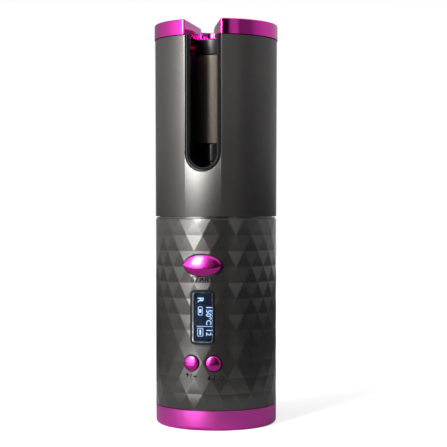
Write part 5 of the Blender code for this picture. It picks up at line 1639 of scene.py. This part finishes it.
def build_display():
    skin = GRIP_RADIUS - GAP / 3
    outer = follow(bezel_outline(0))

    def ring(inset):
        return evened(follow(bezel_outline(-inset)), len(outer))

    well = ring(BEZEL_WALL)
    surround = prism([
        level(outer, BEZEL_BACK),
        wrapped(outer, skin - BEZEL_EDGE),
        wrapped(ring(BEZEL_EDGE), skin),
        wrapped(ring(BEZEL_WALL - TRIM_WIDTH / 2), skin),
        wrapped(well, skin - TRIM_DEPTH),
        level(well, BEZEL_BACK),
    ], hoop=True)
    finished("display_surround", surround, "gloss", "housing", "display_bezel",
             slot="black_gloss")
    edge_out = ring(BEZEL_WALL - TRIM_WIDTH / 2 + GAP / 6)
    edge_in = ring(BEZEL_WALL + TRIM_WIDTH / 2)
    trim = prism([
        wrapped(edge_out, skin - GAP / 6),
        wrapped(edge_in, skin - TRIM_DEPTH),
        wrapped(edge_in, skin - TRIM_DEPTH - GAP / 3),
        wrapped(edge_out, skin - GAP / 2),
    ], hoop=True)
    finished("display_trim", trim, "trim", "housing", slot="steel")
    half_width = WINDOW_HIGH.x - WINDOW_EDGE
    half_height = (WINDOW_HIGH.z - WINDOW_LOW.z) / 2 - WINDOW_EDGE
    corner = BEZEL_CORNER - BEZEL_WALL - GAP
    columns = []
    for step in range(WINDOW_COLUMNS + 1):
        x = -half_width * math.cos(math.pi * step / WINDOW_COLUMNS)
        over = max(0.0, abs(x) - (half_width - corner))
        reach = half_height - corner + math.sqrt(max(0.0, corner**2 - over**2))
        columns.append((x, (DISPLAY_MIDDLE - reach, DISPLAY_MIDDLE + reach)))
    window = GRIP_RADIUS - WINDOW_RECESS
    lens = slab(
        columns,
        lambda x, z: on_cylinder(x, z, window - TRIM_DEPTH / 2),
        lambda x, z: on_cylinder(x, z, window - WINDOW_THICKNESS),
    )
    finished("display_lens", lens, "lens", "housing", "display_window", slot="clear_lens")
    build_glyphs()


def build_glyphs():
    """Characters of the display. They read from top to bottom, so their X runs down."""
    top = DISPLAY_MIDDLE - WINDOW_HIGH.z
    battery = (top + BATTERY_FROM_TOP, LEFT_COLUMN)
    timer = (TIMER_PLACE, LEFT_COLUMN)
    letter_place, degrees_place = top + LETTER_FROM_TOP, top + DEGREES_FROM_TOP
    divider_end = DIVIDER_PLACE + GLYPH_LINE
    flat = merged(
        flat_text("R", LETTER_SIZE, letter_place, LEFT_COLUMN, bold_share=LETTER_BOLD_SHARE),
        flat_frame(BATTERY_SIZE, GLYPH_LINE, BATTERY_CORNER, battery),
        flat_text("150°C", DEGREES_SIZE, degrees_place, RIGHT_COLUMN,
                  bold_share=FIGURE_BOLD_SHARE),
        flat_bar(DIVIDER_PLACE, DIVIDER_ENDS[0], divider_end, DIVIDER_ENDS[1]),
        flat_frame(TIMER_SIZE, GLYPH_LINE, TIMER_CORNER, timer),
        flat_block(HAND_SIZE, timer),
        flat_text("12", COUNT_SIZE, TIMER_PLACE, RIGHT_COLUMN, bold_share=FIGURE_BOLD_SHARE),
        flat_block(CHARGE_SIZE, battery),
    )
    bmesh.ops.triangulate(flat, faces=flat.faces)
    lay = Matrix((
        (0, 1, 0, 0),
        (0, 0, -1, LCD_FRONT - GLYPH_THICKNESS / 2),
        (-1, 0, 0, DISPLAY_MIDDLE),
        (0, 0, 0, 1),
    ))
    glyphs = thickened(laid(flat, lay), GLYPH_THICKNESS / 2)
    finished("display_glyphs", glyphs, "glow", "housing", slot="display_blue")


def build_labels():
    shape = bmesh.new()
    shape.from_mesh(bpy.data.objects["grip_shell"].data)
    skin = BVHTree.FromBMesh(shape)
    shape.free()
    key_x = GRIP_RADIUS * math.sin(KEY_ANGLE)
    start = flat_text("START", START_LABEL_SIZE, spacing=START_LABEL_SPACING)
    plus_minus = merged(
        flat_text("+", PLUS_SIZE, PLUS_PLACE),
        flat_text("/", STROKE_SIZE),
        flat_text("-", MINUS_SIZE, MINUS_PLACE),
    )
    sign_x = POWER_SIGN_PLACE[0]
    circle = [
        arc(POWER_SIGN_PLACE, POWER_SIGN_RADIUS + half, *POWER_SIGN_ENDS, DOME_STEPS)
        for half in (PRINT_LINE / 2, -PRINT_LINE / 2)
    ]
    power = merged(
        flat_outline(TRIANGLE),
        flat_text("/", STROKE_SIZE, POWER_STROKE_PLACE),
        flat_band(*circle, closed=False),
        flat_bar(sign_x - PRINT_LINE / 2, 0, sign_x + PRINT_LINE / 2, POWER_BAR_HEIGHT),
    )
    labels = merged(
        printed(start, 0, START_MIDDLE - START_LABEL_DROP, skin),
        printed(plus_minus, key_x * PLUS_PLACE_SHARE, KEY_MIDDLE - KEY_LABEL_DROP, skin),
        printed(power, key_x * POWER_PLACE_SHARE, KEY_MIDDLE - POWER_LABEL_DROP, skin),
    )
    finished("key_labels", labels, "print", "housing", slot="black_plastic")


class CurlerSizes(PropertyGroup):
    facet_rows: IntProperty(
        name="Facet rows", description="Rows of facets up the grip", default=FACET_ROWS, min=2
    )
    facets_around: IntProperty(
        name="Facets around", description="Facets in one row of the grip", default=FACETS_AROUND, min=6
    )
    ridge_width: FloatProperty(
        name="Ridge width", description="Rounding of the ridges between the facets",
        default=0.00010, unit="LENGTH",
    )
    hole_chamfer: FloatProperty(
        name="Hole chamfer", description="Chamfer round the openings of the grip",
        default=0.00016, unit="LENGTH",
    )
    slot_edge: FloatProperty(
        name="Slot edge", description="Rounding of the upper housing's edges",
        default=0.00028, unit="LENGTH",
    )
    cap_edge: FloatProperty(
        name="Cap edge", description="Rounding of the cap's edges", default=0.0006, unit="LENGTH"
    )


class CurlerColours(PropertyGroup):
    gunmetal: FloatVectorProperty(
        name="Upper housing", description="Paint of the plain housing", subtype="COLOR",
        default=(0.096, 0.092, 0.088),
    )
    facets: FloatVectorProperty(
        name="Facets", description="Paint of the faceted grip", subtype="COLOR",
        default=(0.100, 0.097, 0.093),
    )
    plated: FloatVectorProperty(
        name="Plating", description="Colour of the cap and the keys", subtype="COLOR",
        default=(0.74, 0.045, 0.44),
    )
    satin: FloatVectorProperty(
        name="Foot ring", description="Colour of the ring at the foot", subtype="COLOR",
        default=(0.66, 0.075, 0.46),
    )
    ceramic: FloatVectorProperty(
        name="Barrel", description="Coating of the heated barrel", subtype="COLOR",
        default=(0.135, 0.112, 0.088),
    )
    display: FloatVectorProperty(
        name="Display", description="Light of the display's characters", subtype="COLOR",
        default=(0.48, 0.66, 1.0),
    )


def place_on_circle(azimuth, distance, height):
    return Vector((distance * math.sin(azimuth), -distance * math.cos(azimuth), height))


def make_camera():
    camera = link_object("camera", bpy.data.cameras.new("camera"))
    camera.data.lens = CAMERA_LENS
    camera.data.sensor_width = SENSOR_WIDTH
    camera.data.clip_start = CAMERA_NEAR
    camera.location = place_on_circle(CAMERA_AZIMUTH, CAMERA_DISTANCE, CAMERA_HEIGHT)
    camera.rotation_euler = (math.pi / 2 + CAMERA_PITCH, 0, CAMERA_AZIMUTH - CAMERA_YAW)
    bpy.context.scene.camera = camera


def make_lamp():
    data = bpy.data.lights.new("key softbox", "AREA")
    data.shape = "RECTANGLE"
    data.size, data.size_y = LAMP_SIZE
    data.energy = LAMP_POWER
    lamp = link_object("key softbox", data)
    lamp.location = place_on_circle(LAMP_AZIMUTH, LAMP_DISTANCE, LAMP_HEIGHT)
    aim = Vector((0, 0, LAMP_AIM_HEIGHT)) - lamp.location
    lamp.rotation_euler = aim.to_track_quat("-Z", "Y").to_euler()


def empty_tree(owner):
    """The node tree of a material or a world, with nothing in it."""
    owner.use_nodes = True
    owner.node_tree.nodes.clear()
    return owner.node_tree


def glow_node(tree, colour, strength):
    inputs = {"Color": colour, "Strength": strength}
    return add_node(tree, "ShaderNodeEmission", inputs).outputs[0]


def stage_piece(name, shape, material, *unseen_by):
    """A thing of the studio, which some kinds of ray don't see."""
    piece = make_piece(name, shape, material)
    for ray in unseen_by:
        setattr(piece, f"visible_{ray}", False)


def stage_disc(radius, height):
    shape = bmesh.new()
    bmesh.ops.create_circle(shape, cap_ends=True, radius=radius, segments=ROUND_STAGE_SIDES)
    bmesh.ops.translate(shape, verts=shape.verts, vec=(0, 0, height))
    return shape


def make_surround():
    """A studio bowl that only reflections see: a floor and a wall whose light depends on the
    direction, and a pale spot under the object."""
    unseen_by = ("camera", "transmission", "volume_scatter", "shadow")
    material = bpy.data.materials.new("studio surround")
    tree = empty_tree(material)
    place = add_node(tree, "ShaderNodeTexCoord").outputs["Object"]
    parts = add_node(tree, "ShaderNodeSeparateXYZ", {0: place}).outputs
    front = math_node(tree, "MULTIPLY", parts["Y"], -1.0)
    angle = math_node(tree, "ARCTAN2", parts["X"], front)
    turn = {"Value": angle, "From Min": -math.pi, "From Max": math.pi}
    share = add_node(tree, "ShaderNodeMapRange", turn).outputs["Result"]
    stops = []
    for degrees, *light in SURROUND:
        dimmed = [value / SURROUND_PEAK for value in light]
        stops.append(((degrees + HALF_TURN) / (2 * HALF_TURN), dimmed))
    colour = ramp_node(tree, share, stops)
    inputs = {0: place, 1: (1, 1, 0)}
    flat = add_node(tree, "ShaderNodeVectorMath", inputs, operation="MULTIPLY").outputs[0]
    reach = add_node(tree, "ShaderNodeVectorMath", {0: flat}, operation="LENGTH")
    spread = {"Value": reach.outputs["Value"], "From Min": 0.0, "From Max": SURROUND_FAR}
    nearness = add_node(tree, "ShaderNodeMapRange", spread).outputs["Result"]
    table = ramp_node(tree, nearness, [(way, (grey,) * 3) for way, grey in TABLE_SHARES])
    strength = math_node(tree, "MULTIPLY", table, SURROUND_PEAK)
    glow = glow_node(tree, colour, strength)
    add_node(tree, "ShaderNodeOutputMaterial", {"Surface": glow})
    profile = [
        (SURROUND_NEAR, -SURROUND_SINK),
        (SURROUND_FAR, SURROUND_FOOT),
        (SURROUND_FAR, SURROUND_TOP),
    ]
    bowl = turned(profile, SURROUND_SIDES, closed=False)
    stage_piece("studio surround", bowl, material, *unseen_by)
    spot = FinishTree("studio spot")
    stops = [(spot.lowest, (0.86,) * 3), (spot.highest, (0.88,) * 3)]
    spot.colour(ramp_node(spot.tree, spot.noise(20), stops))
    disc = stage_disc(SURROUND_NEAR, -SURROUND_SINK / 2)
    stage_piece("studio spot", disc, spot.made(Roughness=1.0), *unseen_by)


def make_world():
    """White to the camera and in gloss and glass, and a weak fill for all else."""
    world = bpy.data.worlds.new("studio")
    bpy.context.scene.world = world
    tree = empty_tree(world)
    path = add_node(tree, "ShaderNodeLightPath").outputs
    seen = math_node(tree, "MAXIMUM", path["Is Camera Ray"], path["Is Glossy Ray"])
    seen = math_node(tree, "MAXIMUM", seen, path["Is Transmission Ray"])
    fill, white = [
        add_node(tree, "ShaderNodeBackground", {"Color": WHITE, "Strength": strength}).outputs[0]
        for strength in (WORLD_FILL, 1.0)
    ]
    mix = add_node(tree, "ShaderNodeMixShader", {0: seen, 1: fill, 2: white})
    add_node(tree, "ShaderNodeOutputWorld", {"Surface": mix.outputs[0]})


def make_floor():
    """A pale floor that keeps the shadow and looks almost white to the camera."""
    material = bpy.data.materials.new("studio floor")
    tree = empty_tree(material)
    path = add_node(tree, "ShaderNodeLightPath").outputs
    lift = math_node(tree, "MULTIPLY", path["Is Camera Ray"], FLOOR_LIFT)
    shade = add_node(tree, "ShaderNodeBsdfDiffuse", {"Color": FLOOR_COLOUR}).outputs[0]
    both = add_node(tree, "ShaderNodeAddShader", {0: shade, 1: glow_node(tree, WHITE, lift)})
    add_node(tree, "ShaderNodeOutputMaterial", {"Surface": both.outputs[0]})
    stage_piece("floor", stage_disc(FLOOR_RADIUS, 0), material, "glossy", "diffuse")


def build_stage():
    bpy.context.scene.view_settings.view_transform = "Standard"
    make_camera()
    make_world()
    make_floor()
    make_lamp()
    make_surround()


class CURLER_OT_finishes(Operator):
    """Give the parts of the frame that keep their own shape their finishes"""

    bl_idname = "curler.finishes"
    bl_label = "Finishes of the frame"

    def execute(self, context):
        dress_carried_nodes()
        return {"FINISHED"}


class CURLER_OT_grip(Operator):
    """Make the faceted grip with its openings, neck and screw bosses"""

    bl_idname = "curler.grip"
    bl_label = "Faceted grip"

    def execute(self, context):
        build_grip()
        return {"FINISHED"}


class CURLER_OT_upper_housing(Operator):
    """Make the plain housing with its tall slot"""

    bl_idname = "curler.upper_housing"
    bl_label = "Upper housing"

    def execute(self, context):
        build_upper_housing()
        return {"FINISHED"}


class CURLER_OT_liner(Operator):
    """Make the chamber's wall and the glossy lip round the slot"""

    bl_idname = "curler.liner"
    bl_label = "Chamber liner"

    def execute(self, context):
        build_liner()
        return {"FINISHED"}


class CURLER_OT_cap(Operator):
    """Make the plated cap with its hair notch"""

    bl_idname = "curler.cap"
    bl_label = "Cap"

    def execute(self, context):
        build_cap()
        return {"FINISHED"}


class CURLER_OT_foot_ring(Operator):
    """Make the satin ring at the foot"""

    bl_idname = "curler.foot_ring"
    bl_label = "Foot ring"

    def execute(self, context):
        build_foot_ring()
        return {"FINISHED"}


class CURLER_OT_foot_plate(Operator):
    """Make the foot plate and the charging inlet in it"""

    bl_idname = "curler.foot_plate"
    bl_label = "Foot plate"

    def execute(self, context):
        build_foot_plate()
        return {"FINISHED"}


class CURLER_OT_foot_screws(Operator):
    """Set the screws of the foot plate"""

    bl_idname = "curler.foot_screws"
    bl_label = "Foot screws"

    def execute(self, context):
        build_foot_screws()
        return {"FINISHED"}


class CURLER_OT_barrel(Operator):
    """Make the coated barrel, its collar and its tip"""

    bl_idname = "curler.barrel"
    bl_label = "Heated barrel"

    def execute(self, context):
        build_barrel()
        return {"FINISHED"}


class CURLER_OT_rotor(Operator):
    """Make the turntable with its two winding fingers"""

    bl_idname = "curler.rotor"
    bl_label = "Winding rotor"

    def execute(self, context):
        build_rotor()
        return {"FINISHED"}


class CURLER_OT_start_key(Operator):
    """Make the large oval key"""

    bl_idname = "curler.start_key"
    bl_label = "Start key"

    def execute(self, context):
        build_start_key()
        return {"FINISHED"}


class CURLER_OT_round_keys(Operator):
    """Make the two small domed keys"""

    bl_idname = "curler.round_keys"
    bl_label = "Round keys"

    def execute(self, context):
        build_round_keys()
        return {"FINISHED"}


class CURLER_OT_display(Operator):
    """Make the display's surround, trim, lens and characters"""

    bl_idname = "curler.display"
    bl_label = "Display"

    def execute(self, context):
        build_display()
        return {"FINISHED"}


class CURLER_OT_labels(Operator):
    """Print the words and signs beside the keys"""

    bl_idname = "curler.labels"
    bl_label = "Labels"

    def execute(self, context):
        build_labels()
        return {"FINISHED"}


class CURLER_OT_stage(Operator):
    """Set up the floor, the lamp, the surround and the camera"""

    bl_idname = "curler.stage"
    bl_label = "Studio"

    def execute(self, context):
        build_stage()
        return {"FINISHED"}


OPERATORS = (
    CURLER_OT_finishes,
    CURLER_OT_grip,
    CURLER_OT_upper_housing,
    CURLER_OT_liner,
    CURLER_OT_cap,
    CURLER_OT_foot_ring,
    CURLER_OT_foot_plate,
    CURLER_OT_foot_screws,
    CURLER_OT_barrel,
    CURLER_OT_rotor,
    CURLER_OT_start_key,
    CURLER_OT_round_keys,
    CURLER_OT_display,
    CURLER_OT_labels,
    CURLER_OT_stage,
)


class CURLER_PT_pieces(Panel):
    """Lists the curler's sizes, its colours and the pieces to make"""

    bl_idname = "CURLER_PT_pieces"
    bl_label = "Hair curler"
    bl_space_type = "VIEW_3D"
    bl_region_type = "UI"
    bl_category = "Curler"

    def draw(self, context):
        scene = context.scene
        for settings in (scene.curler_sizes, scene.curler_colours):
            box = self.layout.box()
            for name in settings.__annotations__:
                box.prop(settings, name)
        for operator in OPERATORS:
            self.layout.operator(operator.bl_idname)


CLASSES = (CurlerSizes, CurlerColours, *OPERATORS, CURLER_PT_pieces)


def register():
    for item in CLASSES:
        bpy.utils.register_class(item)
    bpy.types.Scene.curler_sizes = PointerProperty(type=CurlerSizes)
    bpy.types.Scene.curler_colours = PointerProperty(type=CurlerColours)


def unregister():
    del bpy.types.Scene.curler_colours
    del bpy.types.Scene.curler_sizes
    for item in reversed(CLASSES):
        bpy.utils.unregister_class(item)


def main():
    register()
    bpy.ops.curler.finishes()
    bpy.ops.curler.grip()
    bpy.ops.curler.upper_housing()
    bpy.ops.curler.liner()
    bpy.ops.curler.cap()
    bpy.ops.curler.foot_ring()
    bpy.ops.curler.foot_plate()
    bpy.ops.curler.foot_screws()
    bpy.ops.curler.barrel()
    bpy.ops.curler.rotor()
    bpy.ops.curler.start_key()
    bpy.ops.curler.round_keys()
    bpy.ops.curler.display()
    bpy.ops.curler.labels()
    bpy.ops.curler.stage()


if __name__ == "__main__":
    main()
